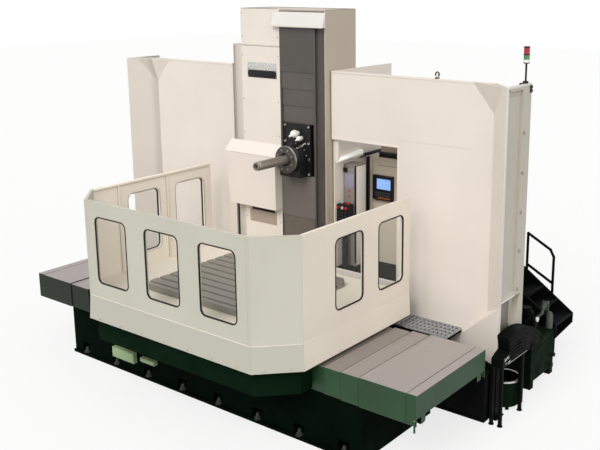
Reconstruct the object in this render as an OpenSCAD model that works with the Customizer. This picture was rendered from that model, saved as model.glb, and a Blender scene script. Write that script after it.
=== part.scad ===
// Table-type horizontal boring mill: a T-shaped bed, a rotary table that
// travels along X inside a glazed guard, and a column that carries the
// headstock with its milling sleeve and boring spindle.
// Millimetres. X runs along the table travel, the spindle points to -Y and
// Z is up. The origin is on the floor under the crossing of the spindle's
// vertical plane and the centre line of the table bed.

/* [Table bed] */
// Length of the table bed
bed_len = 5310; // [5000:10:5600]
// Width of the table bed
bed_w = 1456; // [1380:4:1500]
// Height of the table bed
bed_h = 700; // [660:5:740]
// Width of the foot flange beyond the bed's side
bed_foot = 34; // [20:2:60]
// Height of the guideways on both beds
rail_h = 90; // [60:5:120]

/* [Telescopic table covers] */
// Distance from the machine's centre to the inner edge of a fixed cover
cover_fixed_edge = 2641; // [2600:1:2660]
// Length of a fixed cover
fixed_cover_len = 772; // [720:1:800]
// Half width of the fixed covers
cover_half_w = 761; // [750:1:790]
// Height of the top of the fixed covers
cover_top = 1070; // [1040:1:1074]
// Height of the lower edge of the covers
cover_skirt = 709; // [704:1:740]
// Length of a sliding cover
cover_len = 700; // [680:5:720]
// Step in height and half width from one cover to the next
cover_step = 12; // [9:0.5:12]
// Sheet thickness of the covers
cover_sheet = 4; // [3:0.5:6]

/* [Table] */
// Place of the table's axis along the bed
table_x = 203; // [150:1:230]
// Length of the table top along X
table_len = 2100; // [1900:10:2140]
// Width of the table top along Y
table_w = 1720; // [1600:10:1760]
// Height of the table's clamping face
table_top = 1490; // [1470:5:1520]
// Thickness of the table top
table_t = 78; // [70:1:84]
// Radius of the turntable under the table top
turntable_r = 760; // [600:10:800]
// Number of T-slots
slot_count = 10; // [6:2:12]
// Width of the T-slots at the face
slot_w = 36; // [22:1:40]
// Radius of the centring bore in the table
centre_bore_r = 50; // [40:1:80]
// Distance from the guard's side to the end of the saddle
saddle_inset = 207; // [190:1:250]

/* [Guard] */
// Width of the guard
guard_w = 3700; // [3660:10:3740]
// Distance from the bed's centre line to the front of the guard
guard_front = 1434; // [1424:2:1460]
// Distance from the bed's centre line to the rear end of the guard
guard_rear = 1150; // [1100:5:1160]
// Leg of the slanted corners
guard_corner = 417; // [380:1:450]
// Height of the guard's upper edge
guard_top = 2680; // [2640:5:2700]
// Height of the guard's lower edge
guard_bottom = 1084; // [1080:1:1090]
// Height of the bend line
guard_bend = 1410; // [1400:1:1440]
// How far the band below the bend leans outwards
guard_lean = 22; // [10:1:30]
// Thickness of the guard panels
guard_t = 40; // [30:1:46]
// Width of the windows in the front panel
front_window_w = 600; // [560:5:640]
// Width of the windows in the side panels
side_window_w = 556; // [500:4:600]
// Height of the windows' lower edge
window_low = 1606; // [1580:2:1640]
// Height of the windows' upper edge
window_high = 2498; // [2460:2:2520]
// Corner radius of the windows
window_r = 85; // [60:5:110]
// Face width of the window gaskets
gasket_w = 14; // [10:1:18]

/* [Walls] */
// Front face of the rear walls
wall_y = 1450; // [1440:1:1470]
// Thickness of the rear walls
wall_t = 40; // [30:1:50]
// Height of the top of the walls
wall_top = 4195; // [4100:5:4260]
// Height of the walls' lower edge
wall_low = 700; // [690:5:790]
// Half width of the walls at the front edge of the slanted returns
wall_half_w = 3390; // [3380:1:3400]
// Leg of the slanted returns
wall_return = 332; // [320:1:338]
// Depth of the end panels behind the front edge
end_depth = 650; // [620:5:680]
// Right edge of the doorway
door_right = 1644; // [1600:2:1680]
// Height of the doorway's upper edge
door_high = 3240; // [3200:5:3280]
// Height of the operator's platform
platform_z = 1350; // [1320:5:1380]

/* [Column] */
// Front face of the column's covers
column_front = 1350; // [1346:1:1354]
// Left side of the column
column_left = -1071; // [-1090:1:-1050]
// Right side of the column
column_right = 510; // [500:1:512]
// Rear side of the column
column_back = 2040; // [2000:5:2080]
// Height of the top of the column
column_top = 5015; // [4960:5:5060]
// Travel of the column along its bed
z_travel = 1400; // [1000:10:1800]
// Left edge of the headstock's slot
head_slot_left = -323; // [-330:1:-316]
// Right edge of the headstock's slot
head_slot_right = 306; // [300:1:312]
// Distance from the column's top to the top of the headstock's slot
head_slot_drop = 235; // [215:5:255]
// Height of the bottom of the headstock's slot
head_slot_low = 1000; // [990:5:1020]
// Sheet thickness of the column's casing
casing_t = 20; // [16:1:24]

/* [Headstock] */
// Height of the spindle's axis
spindle_z = 2945; // [2920:5:2960]
// Diameter of the boring spindle
spindle_d = 130; // [110:1:150]
// Place of the boring spindle's front end
spindle_tip = 461; // [440:1:480]
// Front face of the milling sleeve
sleeve_front = 1056; // [1050:1:1060]
// Radius of the milling sleeve's flange
sleeve_r = 192; // [180:1:200]
// Running clearance of shafts in their bores
run_gap = 0.05; // [0.02:0.01:0.1]

/* [Hidden] */
$fn = 48;

// Clearances and overruns
cut = 10;
seat = 0.3;

// Beds
bed_x = bed_len / 2;
bed_y = bed_w / 2;
pocket_w = 170;
pocket_h = 150;
pocket_d = 110;
pocket_sill = 40;
pocket_end = 260;
pocket_count = 8;
pocket_pitch = (bed_len - 2 * pocket_end) / (pocket_count - 1);
bolt_r = 22;
bolt_top = 120;
nut_r = 38;
nut_h = 30;
washer_r = 52;
washer_h = 10;
bolt_y = bed_y + bed_foot - washer_r;
rail_w = 120;
x_rail_y = 480;
rail_top = bed_h + rail_h;
rail_end_gap = 15;
z_bed_left = column_left + casing_t;
z_bed_right = column_right - casing_t;
column_base_reach = 260;
column_base_back = column_back + column_base_reach;
z_bed_spare = 60;
z_bed_end = column_base_back + z_travel + z_bed_spare;
z_rail_inset = 200;
terminal_w = 460;
terminal_h = 150;
terminal_t = 60;
terminal_x = -1480;
terminal_z = 180;
small_terminal_w = 290;
small_terminal_h = 60;
small_terminal_gap = 141;
small_terminal_z = 262;

// Telescopic covers: each side has a fixed cover, two that follow and one on the saddle
saddle_hx = guard_w / 2 - saddle_inset;
cover_end = cover_fixed_edge + fixed_cover_len;
right_pitch = (cover_fixed_edge - table_x - saddle_hx) / 3;
left_pitch = (cover_fixed_edge + table_x - saddle_hx) / 3;
back_t = 8;
cover_foot_w = 80;
cover_foot_y = 620;
cover_rail_h = 20;
cover_rail_start = 1500;
cover_band = 126;
cover_band_t = 3;
drain_r = 12;
drain_drop = 70;
drain_inset = 20;

// Saddle and table
saddle_hy = 700;
saddle_h = 180;
saddle_deck = cover_top + saddle_h;
apron_inset = 74;
apron_low = 766;
apron_back = 780;
deck_t = 20;
deck_gap = 10;
deck_top = table_top - table_t - deck_gap;
deck_hole_gap = 20;
deck_hole_r = turntable_r + deck_hole_gap;
table_corner = 70;
slot_neck_h = 32;
slot_t_w = 60;
slot_t_h = 20;
slot_pitch = table_w / slot_count;
pivot_r = 240;
pivot_h = 120;
centre_bore_depth = 140;

// Guard
guard_hw = guard_w / 2;
guard_mitre = tan(22.5);
guard_reach = 60;
mitre_gap = 0.05;
front_len = guard_w - 2 * guard_corner;
side_len = guard_rear + guard_front - guard_corner;
corner_len = guard_corner * sqrt(2);
window_h = window_high - window_low;
window_mid = (window_high + window_low) / 2;
front_window_pitch_share = 0.327;
side_blank = 430;
side_bay = (side_len - side_blank) / 2;
gasket_proud = 5;
gasket_d = 14;
pane_setback = 1;
pane_t = 8;
seam_w = 6;
seam_d = 3;

// Walls
wall_fold = wall_half_w - wall_return;
wall_front = wall_y - wall_return;
left_wall_gap = 289;
left_wall_end = column_left - left_wall_gap;
wall_gap = 18;
side_wall_t = 20;
side_wall_right = column_right + wall_gap + side_wall_t;
corner_plate = 300;
corner_plate_drop = 380;
corner_plate_t = 12;
end_frame_w = 60;
end_flange_w = 230;
end_sheet_t = 8;
end_recess = 24;
end_ledge_z = 1530;
end_ledge_drop = 60;
end_low_recess = 60;
end_low_z = 1000;
end_slant_top = 82;
end_slant_low = 223;
end_slant_z = 1130;
end_front = wall_fold + wall_y + wall_t * sqrt(2) - wall_half_w + end_recess + end_sheet_t;
seam_z = 3340;
side_wall_len = 1400;
deflector_gap = 12;
deflector_low_h = 190;
deflector_mid_h = 560;
deflector_high_h = 780;
eye_r = 18;
eye_h = 60;
eye_x = 2225;
stand_w = 120;
stand_foot = 200;
stand_foot_h = 20;
tie_low = 480;
grating_end_gap = 368;
grating_len = 830;
grating_right = wall_fold - grating_end_gap;
grating_left = grating_right - grating_len;
grating_front = 1060;
grating_top = 955;
grating_bar = 8;
grating_h = 30;
grating_cells_x = 13;
grating_cells_y = 4;
tray_h = 30;

// Operator's place
platform_back = 3430;
platform_inset = 790;
platform_right = wall_half_w - platform_inset;
platform_t = 60;
platform_leg = 90;
platform_left = side_wall_right;
stair_w = 600;
stair_front = platform_back - stair_w;
stringer_t = 30;
stair_top = 1271;
stair_run = 809;
stair_low = 709;
stair_end_h = 144;
stair_knee_x = 552;
stair_knee_z = 235;
stair_leg_w = 100;
stair_back_z = 560;
tread_t = 30;
tread_go = 230;
tread_count = 3;
tube_r = 20;
hand_top = 1770;
hand_drop_share = 0.524;
hand_bend = 402;
hand_bend_drop = 103;
hand_post = 459;
hand_low_z = 1293;
hand_start = 40;
elbow_swell = 1.5;
clamp_w = 70;
clamp_t = 14;
clamp_h = 120;
cabinet_gap = 214;
cabinet_w = 836;
cabinet_left = column_right + cabinet_gap;
cabinet_right = cabinet_left + cabinet_w;
cabinet_front = 2100;
cabinet_depth = 420;
cabinet_top = 2918;
bezel_inset = 91;
bezel_w = 338;
bezel_left = cabinet_left + bezel_inset;
bezel_right = bezel_left + bezel_w;
bezel_low = 2300;
bezel_high = 2662;
bezel_t = 50;
screen_inset = 65;
screen_w = 242;
screen_left = bezel_left + screen_inset;
screen_right = screen_left + screen_w;
screen_low = 2462;
screen_high = 2616;
screen_t = 8;
screen_sink = 6;
wiring_gap = 38;
wiring_w = 224;
wiring_left = column_right + wiring_gap;
wiring_right = wiring_left + wiring_w;
wiring_front = 1700;
wiring_depth = 230;
wiring_top = 2850;
lamp_gap = 74;
lamp_x = column_right + lamp_gap;
lamp_w = 64;
lamp_y0 = wall_y + wall_t;
lamp_y1 = 2080;
lamp_drop = 320;
lamp_z = door_high - lamp_drop;
lamp_h = 60;
box_gap = 40;
box_w = 202;
box_left = column_right + box_gap;
box_right = box_left + box_w;
box_front = 1530;
box_depth = 130;
box_low = 2000;
box_high = 2290;
box_post_r = 45;
button_r = 24;
button_neck_r = 15;
button_head_h = 24;
button_travel = 8;
button_pitch = 110;

// Signal tower
tower_inset = 40;
tower_x = wall_half_w - tower_inset;
tower_setback = 556;
tower_y = wall_front + tower_setback;
tower_pole_r = 12;
tower_base_r = 34;
tower_base_h = 26;
tower_rise = 245;
tower_lamp_low = wall_top + tower_rise;
tower_lamp_h = 100;
tower_lamp_r = 36;
tower_cap = 8;

// Coolant tank, pump and chip drum
tank_right = wall_half_w;
tank_left = platform_right;
tank_front = 2112;
tank_back = stair_front;
tank_top = 660;
tank_foot = 100;
pump_inset = 180;
pump_x = tank_right - pump_inset;
pump_y = 2290;
pump_r = 95;
pump_h = 380;
pump_flange_r = 130;
pump_flange_h = 24;
pump_cap_r = 70;
pump_cap_h = 60;
chute_len = 160;
chute_right = wall_half_w + chute_len;
chute_front = 960;
chute_back = 1720;
chute_low = 780;
chute_top = 980;
chute_arch_r = 800;
chute_leg = 40;
chute_leg_inset = 220;
chute_neck_len = 90;
chute_neck = wall_half_w - chute_neck_len;
chute_neck_front = 1300;
chute_neck_back = wall_front + end_depth - end_slant_low;
chute_neck_h = 130;
drum_inset = 107;
drum_x = wall_half_w - drum_inset;
drum_y = 1550;
drum_r = 200;
drum_wall = 12;
drum_low = 50;
drum_top = 400;
drum_rim = 14;
drum_foot_r = 25;

// Column and headstock
front_sheet = 20;
head_slot_top = column_top - head_slot_drop;
casting_gap = 70;
casting_front = column_front + casting_gap;
casting_back = column_back - casing_t;
casing_low = 940;
column_seam_drop = 530;
column_seam_z = column_top - column_seam_drop;
column_seam_w = 10;
wing_w = 173;
wing_left = column_left - wing_w;
wing_drop = 515;
wing_top = column_top - wing_drop;
wing_setback = 50;
wing_t = 100;
wing_y0 = column_front + wing_setback;
wing_y1 = wing_y0 + wing_t;
inset_left = -985;
inset_right = -440;
inset_low = 1838;
inset_high = 2061;
inset_d = 8;
inset_slot_d = 40;
guide_w = 20;
frame_recess = 34;
hood_reach = 104;
hood_left = head_slot_left - hood_reach;
hood_out = 62;
hood_lip = 26;
hood_drop = 30;
hood_top = column_top - hood_drop;
changer_left = -1329;
changer_foot_left = -1238;
changer_right = head_slot_left;
changer_low = 2119;
changer_high = 2916;
changer_top = 3074;
changer_out = 150;
changer_front = column_front - changer_out;
changer_well = 40;
changer_rim = 90;
plate_hw = 242;
plate_below = 265;
plate_above = 480;
plate_low = spindle_z - plate_below;
plate_high = spindle_z + plate_above;
plate_out = 20;
plate_front = column_front - plate_out;
neck_gap = 10;
layer_t = 6;
layer_pitch = 10;
layer_inset = 3;
upper_plate_share = 0.466;
upper_plate_len = upper_plate_share * (head_slot_top - plate_high);
upper_fixed_edge = head_slot_top - upper_plate_len;
upper_pitch = (upper_fixed_edge - plate_high) / 3;
lower_plate_share = 0.376;
lower_plate_len = lower_plate_share * (plate_low - head_slot_low);
lower_fixed_edge = head_slot_low + lower_plate_len;
lower_pitch = (plate_low - lower_fixed_edge) / 3;
body_back = 2560;
body_below = 380;
body_low = spindle_z - body_below;
body_high = plate_high;
head_rail_w = 40;
nose_r = 186;
nose_chamfer = 12;
nose_flange_r = 214;
nose_flange_t = 34;
nose_out = 204;
nose_front = column_front - nose_out;
sleeve_shaft_r = 112;
sleeve_flange_t = 84;
sleeve_chamfer = 9;
sleeve_rim = 52;
sleeve_step = 22;
sleeve_back = 1900;
sleeve_mouth_r = 96;
sleeve_mouth_d = 46;
spindle_r = spindle_d / 2;
spindle_back = 1960;
spindle_bore_back = 2530;
taper_r = 34.9;
taper_small_r = 20;
taper_d = 102;
spindle_chamfer = 7;
spindle_collar_r = 58;
spindle_collar_len = 34;
nozzle_x = 14;
nozzle_above = 345;
nozzle_z = spindle_z + nozzle_above;
nozzle_r = 52;
nozzle_len = 92;
nozzle_arm_r = 26;
nozzle_step = 66;
small_nozzle_r = 36;
small_nozzle_len = 66;

// A box between two corners
module block(x0, x1, y0, y1, z0, z1) {
    translate([x0, y0, z0]) cube([x1 - x0, y1 - y0, z1 - z0]);
}

// Round bars along the three axes
module rod_x(r, x0, x1, y, z) {
    translate([x0, y, z]) rotate([0, 90, 0]) cylinder(r = r, h = x1 - x0);
}
module rod_y(r, y0, y1, x, z) {
    translate([x, y1, z]) rotate([90, 0, 0]) cylinder(r = r, h = y1 - y0);
}
module rod_z(r, z0, z1, x, y) {
    translate([x, y, z0]) cylinder(r = r, h = z1 - z0);
}

// An outline in X and Z with thickness along Y, and one in Y and Z with length along X
module plate_y(y0, y1) {
    translate([0, y1, 0]) rotate([90, 0, 0]) linear_extrude(y1 - y0) children();
}
module bar_x(x0, x1) {
    translate([x0, 0, 0]) rotate([90, 0, 90]) linear_extrude(x1 - x0) children();
}

// A turned shape about the spindle's axis: its outline is in radius and distance behind a front end
module turned(front) {
    translate([0, front, spindle_z]) rotate([-90, 0, 0]) rotate_extrude() children();
}

// A rectangle with round corners about the origin
module rounded_rect(w, h, r) {
    square([w - 2 * r, h], center = true);
    square([w, h - 2 * r], center = true);
    for (sx = [-1, 1], sz = [-1, 1])
        translate([sx * (w / 2 - r), sz * (h / 2 - r)]) circle(r = r);
}

// Places of the foundation pockets along the table bed
function pocket_x(i) = -bed_x + pocket_end + i * pocket_pitch;
// The rear side has none where the column bed joins it
function has_pocket(i, s) =
    s < 0 || pocket_x(i) < z_bed_left - pocket_w || pocket_x(i) > z_bed_right + pocket_w;

// Table bed with a foot flange and foundation pockets on both sides
module x_bed() {
    color("#10241a") difference() {
        union() {
            block(-bed_x, bed_x, -bed_y, bed_y, 0, bed_h);
            block(-bed_x, bed_x, -bed_y - bed_foot, bed_y, 0, pocket_sill);
            block(-bed_x, z_bed_left, bed_y, bed_y + bed_foot, 0, pocket_sill);
            block(z_bed_right, bed_x, bed_y, bed_y + bed_foot, 0, pocket_sill);
        }
        for (i = [0 : pocket_count - 1], s = [-1, 1])
            if (has_pocket(i, s))
                translate([pocket_x(i), s * (bed_y + bed_foot - pocket_d / 2), pocket_sill + pocket_h / 2])
                    cube([pocket_w, pocket_d + 2 * bed_foot, pocket_h], center = true);
    }
}

// A stud with its nut and washer in each pocket
module anchor_bolts() {
    color("silver") for (i = [0 : pocket_count - 1], s = [-1, 1])
        if (has_pocket(i, s))
            translate([pocket_x(i), s * bolt_y, pocket_sill]) {
                cylinder(r = washer_r, h = washer_h);
                cylinder(r = nut_r, h = washer_h + nut_h, $fn = 6);
                cylinder(r = bolt_r, h = bolt_top - pocket_sill);
            }
}

// Hardened rails for the saddle and for the column
module guideways() {
    color("silver") {
        for (s = [-1, 1])
            block(-bed_x + rail_end_gap, bed_x - rail_end_gap, s * x_rail_y - rail_w / 2,
                s * x_rail_y + rail_w / 2, bed_h, rail_top);
        for (x = [z_bed_left + z_rail_inset, z_bed_right - z_rail_inset])
            block(x - rail_w / 2, x + rail_w / 2, bed_y + 2 * rail_end_gap, z_bed_end - rail_end_gap,
                bed_h, rail_top);
    }
}

// Flat rails that carry the feet of the covers past the ends of the bed
module cover_rails() {
    color("dimgray") for (sx = [-1, 1], sy = [-1, 1])
        translate([sx * (cover_rail_start + cover_end - back_t) / 2, sy * cover_foot_y,
                bed_h + cover_rail_h / 2])
            cube([cover_end - back_t - cover_rail_start, cover_foot_w, cover_rail_h], center = true);
}

// Column bed behind the table bed
module z_bed() {
    color("#10241a") block(z_bed_left, z_bed_right, bed_y, z_bed_end, 0, bed_h);
}

// Pale terminal boxes on the front of the table bed
module bed_terminal_boxes() {
    right = terminal_x + terminal_w / 2;
    small_left = right + small_terminal_gap;
    color("#9db48c") {
        block(right - terminal_w, right, -bed_y - terminal_t, -bed_y, terminal_z, terminal_z + terminal_h);
        block(small_left, small_left + small_terminal_w, -bed_y - terminal_t, -bed_y, small_terminal_z,
            small_terminal_z + small_terminal_h);
    }
}

// One cover, on the +X side: an inverted channel with a footed wall at its outer end
module cover(edge, len, level) {
    hw = cover_half_w - level * cover_step;
    top = cover_top - level * cover_step;
    end = edge + len;
    foot_z = bed_h + cover_rail_h + seat;
    color("#9a9186") block(edge, end, -hw, hw, top - cover_sheet, top);
    color("#2f5b41") for (s = [-1, 1])
        translate([edge, s * (hw - cover_sheet / 2) - cover_sheet / 2, cover_skirt])
            cube([len, cover_sheet, top - cover_sheet - cover_skirt]);
    color("#2f5b41") block(end - back_t, end, -hw + cover_sheet, hw - cover_sheet, rail_top + back_t,
        top - cover_sheet);
    color("#2f5b41") for (s = [-1, 1])
        block(end - back_t, end, s * cover_foot_y - cover_foot_w / 2, s * cover_foot_y + cover_foot_w / 2,
            foot_z, rail_top + back_t);
}

// A fixed cover has a joint band at its outer end
module fixed_cover() {
    cover(cover_fixed_edge, cover_end - cover_fixed_edge, 0);
    color("#9a9186") block(cover_end - cover_band, cover_end, -cover_half_w, cover_half_w, cover_top,
        cover_top + cover_band_t);
}

// The right one also has a drain pipe on its front corner
module right_cover_1() {
    fixed_cover();
    color("#20352a") rod_z(drain_r, cover_skirt - drain_drop, cover_skirt + drain_drop,
        cover_end - drain_inset, -cover_half_w - drain_r + cover_sheet / 2);
}
module right_cover_2() { cover(cover_fixed_edge - right_pitch, cover_len, 1); }
module right_cover_3() { cover(cover_fixed_edge - 2 * right_pitch, cover_len, 2); }
module right_cover_4() { cover(cover_fixed_edge - 3 * right_pitch, cover_len, 3); }
module left_cover_1() { mirror([1, 0, 0]) fixed_cover(); }
module left_cover_2() { mirror([1, 0, 0]) cover(cover_fixed_edge - left_pitch, cover_len, 1); }
module left_cover_3() { mirror([1, 0, 0]) cover(cover_fixed_edge - 2 * left_pitch, cover_len, 2); }
module left_cover_4() { mirror([1, 0, 0]) cover(cover_fixed_edge - 3 * left_pitch, cover_len, 3); }

// A three-cornered solid: each corner has its place in plan, its lower and its upper height
module corner_solid(corners) {
    low = [for (c = corners) [c[0], c[1], c[2]]];
    high = [for (c = corners) [c[0], c[1], c[3]]];
    polyhedron(points = concat(low, high),
        faces = [[0, 1, 2], [5, 4, 3], [0, 3, 4, 1], [1, 4, 5, 2], [2, 5, 3, 0]]);
}

// Sloping plate across the inner corner of a wall and its return, on the +X side
module corner_brace() {
    leg = corner_plate / sqrt(2);
    edge = wall_top - corner_plate_t;
    tip = wall_top - corner_plate_drop;
    corner_solid([[wall_fold - corner_plate, wall_y, edge, wall_top],
        [wall_fold + leg, wall_y - leg, edge, wall_top], [wall_fold, wall_y, tip, tip + corner_plate_t]]);
}

// Slanted return of a wall with the end post behind it, on the +X side
module wall_end() {
    deep = wall_t * sqrt(2);
    translate([0, 0, wall_low]) linear_extrude(wall_top - wall_low)
        polygon([[wall_fold, wall_y], [wall_half_w, wall_front], [wall_half_w, wall_front + deep],
            [wall_fold + deep - wall_t, wall_y + wall_t], [wall_fold, wall_y + wall_t]]);
}

module left_wall() {
    color("#ebe4da") {
        block(-wall_fold, left_wall_end, wall_y, wall_y + wall_t, wall_low, wall_top);
        mirror([1, 0, 0]) {
            wall_end();
            corner_brace();
        }
    }
}

// Chip deflector across the lower corner of the right wall and its return
module corner_deflector() {
    corner_solid([[grating_right + deflector_gap, wall_y, wall_low, wall_low + deflector_low_h],
        [wall_half_w, wall_front, wall_low, wall_low + deflector_high_h],
        [wall_fold, wall_y, wall_low, wall_low + deflector_mid_h]]);
}

// Right wall with the doorway, a horizontal seam, a side wall beside the column's path and a lifting eye
module right_wall() {
    color("#ebe4da") {
        difference() {
            block(column_right + wall_gap, wall_fold, wall_y, wall_y + wall_t, wall_low, wall_top);
            block(column_right, door_right, wall_y - cut, wall_y + wall_t + cut, platform_z, door_high);
            block(door_right, wall_fold - corner_plate, wall_y - seam_d, wall_y + seam_d, seam_z,
                seam_z + seam_w);
        }
        wall_end();
        corner_brace();
        corner_deflector();
        block(column_right + wall_gap, side_wall_right, wall_y + wall_t, wall_y + wall_t + side_wall_len,
            wall_low, wall_top);
        rod_z(eye_r, wall_top, wall_top + eye_h, eye_x, wall_y + wall_t / 2);
    }
}

// Outer end of a wall: a recessed sheet in a frame, with a rear flange and a sloping ledge
module end_panel() {
    back = wall_front + end_depth;
    sheet_x = wall_half_w - end_recess;
    flange = back - end_flange_w;
    low = end_ledge_z - end_sheet_t;
    block(sheet_x - end_sheet_t, sheet_x, end_front, flange, low, wall_top);
    block(sheet_x - end_sheet_t, wall_half_w, flange, back, low, wall_top);
    block(sheet_x, wall_half_w, end_front, flange, wall_top - end_frame_w, wall_top);
    plate_y(end_front, flange)
        polygon([[sheet_x, end_ledge_z + end_ledge_drop], [wall_half_w, end_ledge_z], [wall_half_w, low],
            [sheet_x, low]]);
}

// Under the ledge of the right end: a deeper sheet above the chip chute and a flange with a slanting edge
module end_lower_panel() {
    back = wall_front + end_depth;
    sheet_x = wall_half_w - end_recess;
    low_x = sheet_x - end_low_recess;
    front = end_front + end_low_recess;
    high = end_ledge_z - end_sheet_t;
    block(low_x - end_sheet_t, low_x, front, back, end_low_z, high);
    block(low_x - end_sheet_t, sheet_x, front, back, high - end_sheet_t, high);
    bar_x(low_x, wall_half_w)
        polygon([[back, wall_low], [back, high], [back - end_slant_top, high],
            [back - end_slant_low, end_slant_z], [back - end_slant_low, wall_low]]);
}

module end_panels() {
    back = wall_front + end_depth;
    sheet_x = wall_half_w - end_recess;
    color("#c9c7bd") {
        end_panel();
        end_lower_panel();
        mirror([1, 0, 0]) {
            end_panel();
            block(sheet_x - end_sheet_t, sheet_x, end_front, back, wall_low, end_ledge_z);
        }
    }
}

// A post with its foot plate
module stand(x, y, w, d) {
    translate([x - w / 2, y - d / 2, stand_foot_h]) cube([w, d, wall_low - stand_foot_h]);
    translate([x - stand_foot / 2, y - stand_foot / 2, 0]) cube([stand_foot, stand_foot, stand_foot_h]);
}

// Dark posts under the walls, tied to the column bed, and the tray that carries the foot grating
module wall_stands() {
    color("#1a2a22") {
        for (x = [-wall_fold + stand_foot, left_wall_end - stand_foot, column_right + stand_foot, door_right,
                wall_fold - stand_foot])
            stand(x, wall_y + wall_t / 2, stand_w, wall_t);
        block(left_wall_end - stand_foot + stand_w / 2, z_bed_left, wall_y, wall_y + wall_t, tie_low,
            tie_low + stand_w);
        block(z_bed_right, column_right + stand_foot - stand_w / 2, wall_y, wall_y + wall_t, tie_low,
            tie_low + stand_w);
        for (s = [-1, 1])
            stand(s * (wall_half_w - stand_w / 2), wall_front + stand_w / 2, stand_w, stand_w);
        block(grating_left, grating_right, grating_front, wall_y, grating_top - grating_h - tray_h,
            grating_top - grating_h);
        for (x = [grating_left + stand_w / 2, grating_right - stand_w / 2])
            block(x - stand_w / 2, x + stand_w / 2, grating_front, grating_front + stand_w, 0,
                grating_top - grating_h - tray_h);
    }
}

// Bar grating at the foot of the right wall
module foot_grating() {
    step_x = (grating_right - grating_left - grating_bar) / grating_cells_x;
    step_y = (wall_y - grating_front - grating_bar) / grating_cells_y;
    color("slategray") {
        for (i = [0 : grating_cells_x])
            translate([grating_left + i * step_x, grating_front, grating_top - grating_h])
                cube([grating_bar, wall_y - grating_front, grating_h]);
        for (j = [0 : grating_cells_y])
            translate([grating_left, grating_front + j * step_y, grating_top - grating_h])
                cube([grating_right - grating_left, grating_bar, grating_h]);
    }
}

// Operator's platform behind the right wall
module platform() {
    first = wall_y + wall_t + stand_foot;
    last = platform_back - platform_leg;
    color("#2b3430") {
        block(platform_left, platform_right, wall_y + wall_t, platform_back, platform_z - platform_t,
            platform_z);
        for (x = [platform_left, platform_right - platform_leg], y = [first, (first + last) / 2, last])
            block(x, x + platform_leg, y, y + platform_leg, 0, platform_z - platform_t);
    }
}

// Stair beside the platform: two side plates with a leg, and treads between them
module stairs() {
    x0 = platform_right;
    slope = (stair_top - stair_low) / stair_run;
    color("#161c19") {
        for (y = [stair_front, stair_front + stair_w - stringer_t])
            plate_y(y, y + stringer_t)
                polygon([[x0, stair_top], [x0 + stair_run, stair_low],
                    [x0 + stair_run, stair_low - stair_end_h],
                    [x0 + stair_knee_x, stair_knee_z], [x0 + stair_knee_x, 0],
                    [x0 + stair_knee_x - stair_leg_w, 0], [x0 + stair_knee_x - stair_leg_w, stair_knee_z],
                    [x0, stair_back_z]]);
        for (i = [0 : tread_count - 1])
            translate([x0 + (i + 0.5) * tread_go, stair_front + stringer_t,
                    stair_top - slope * (i + 1.5) * tread_go - tread_t])
                cube([tread_go, stair_w - 2 * stringer_t, tread_t]);
    }
}

// A straight tube between two points in the plane of the handrail, with a rounded elbow at its end
module hand_tube(x0, z0, x1, z1) {
    run = sqrt((x1 - x0) * (x1 - x0) + (z1 - z0) * (z1 - z0));
    y = platform_back + tube_r;
    translate([platform_right + x0, y, z0]) rotate([0, 90 - atan2(z1 - z0, x1 - x0), 0])
        cylinder(r = tube_r, h = run);
    translate([platform_right + x1, y, z1]) sphere(r = tube_r + elbow_swell);
}

// Sloping handrail, its posts clamped to the outside of the stair's rear plate
module handrail() {
    slope = (stair_top - stair_low) / stair_run;
    bend_z = hand_top - hand_drop_share * (hand_bend - hand_start);
    post_top = bend_z - hand_bend_drop;
    low_z = hand_low_z - hand_drop_share * (hand_post - hand_start);
    color("#1c2220") {
        for (p = [[hand_start, hand_top], [hand_post, post_top]]) {
            foot = stair_top - slope * p[0] - clamp_h;
            hand_tube(p[0], foot, p[0], p[1]);
            translate([platform_right + p[0] - clamp_w / 2, platform_back, foot])
                cube([clamp_w, clamp_t, clamp_h / 2]);
        }
        hand_tube(hand_start, hand_top, hand_bend, bend_z);
        hand_tube(hand_bend, bend_z, hand_post, post_top);
        hand_tube(hand_start, hand_low_z, hand_post, low_z);
    }
}

// Cabinet that carries the operator's display
module control_cabinet() {
    color("#e2dccf")
        block(cabinet_left, cabinet_right, cabinet_front, cabinet_front + cabinet_depth, platform_z,
            cabinet_top);
}

module display_unit() {
    color("#15171a") difference() {
        block(bezel_left, bezel_right, cabinet_front - bezel_t, cabinet_front, bezel_low, bezel_high);
        block(screen_left, screen_right, cabinet_front - bezel_t - cut,
            cabinet_front - bezel_t + screen_sink + screen_t, screen_low, screen_high);
    }
}

module display_screen() {
    y0 = cabinet_front - bezel_t + screen_sink;
    color("#4a86d8") block(screen_left, screen_right, y0, y0 + screen_t, screen_low, screen_high);
}

// Narrow wiring cabinet inside the doorway
module wiring_cabinet() {
    color("#8f8e87") block(wiring_left, wiring_right, wiring_front, wiring_front + wiring_depth, platform_z,
        wiring_top);
}

// Lamp on the back of the wall above the doorway
module work_lamp() {
    color("#f4f2ea") {
        block(lamp_x - lamp_w / 2, lamp_x + lamp_w / 2, lamp_y0, lamp_y1, lamp_z, lamp_z + lamp_h / 2);
        rod_y(lamp_w / 3, lamp_y0 + lamp_h, lamp_y1 - lamp_h, lamp_x, lamp_z);
        block(lamp_x - lamp_w / 2, lamp_x + lamp_w / 2, lamp_y0, lamp_y0 + lamp_h / 2, lamp_z,
            door_high + lamp_h);
    }
}

// Places of the push buttons on the operation box
function button_x(i) = (box_left + box_right) / 2 + (i - 0.5) * button_pitch;

// Operation box on its post, bored for the necks of its buttons
module operation_box() {
    y = box_front + box_depth / 2;
    color("#23302b") difference() {
        union() {
            block(box_left, box_right, box_front, box_front + box_depth, box_low, box_high);
            rod_z(box_post_r, platform_z, box_low, (box_left + box_right) / 2, y);
        }
        for (i = [0, 1])
            rod_z(button_neck_r + run_gap, box_high - 4 * button_neck_r, box_high + cut, button_x(i), y);
    }
}

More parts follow.
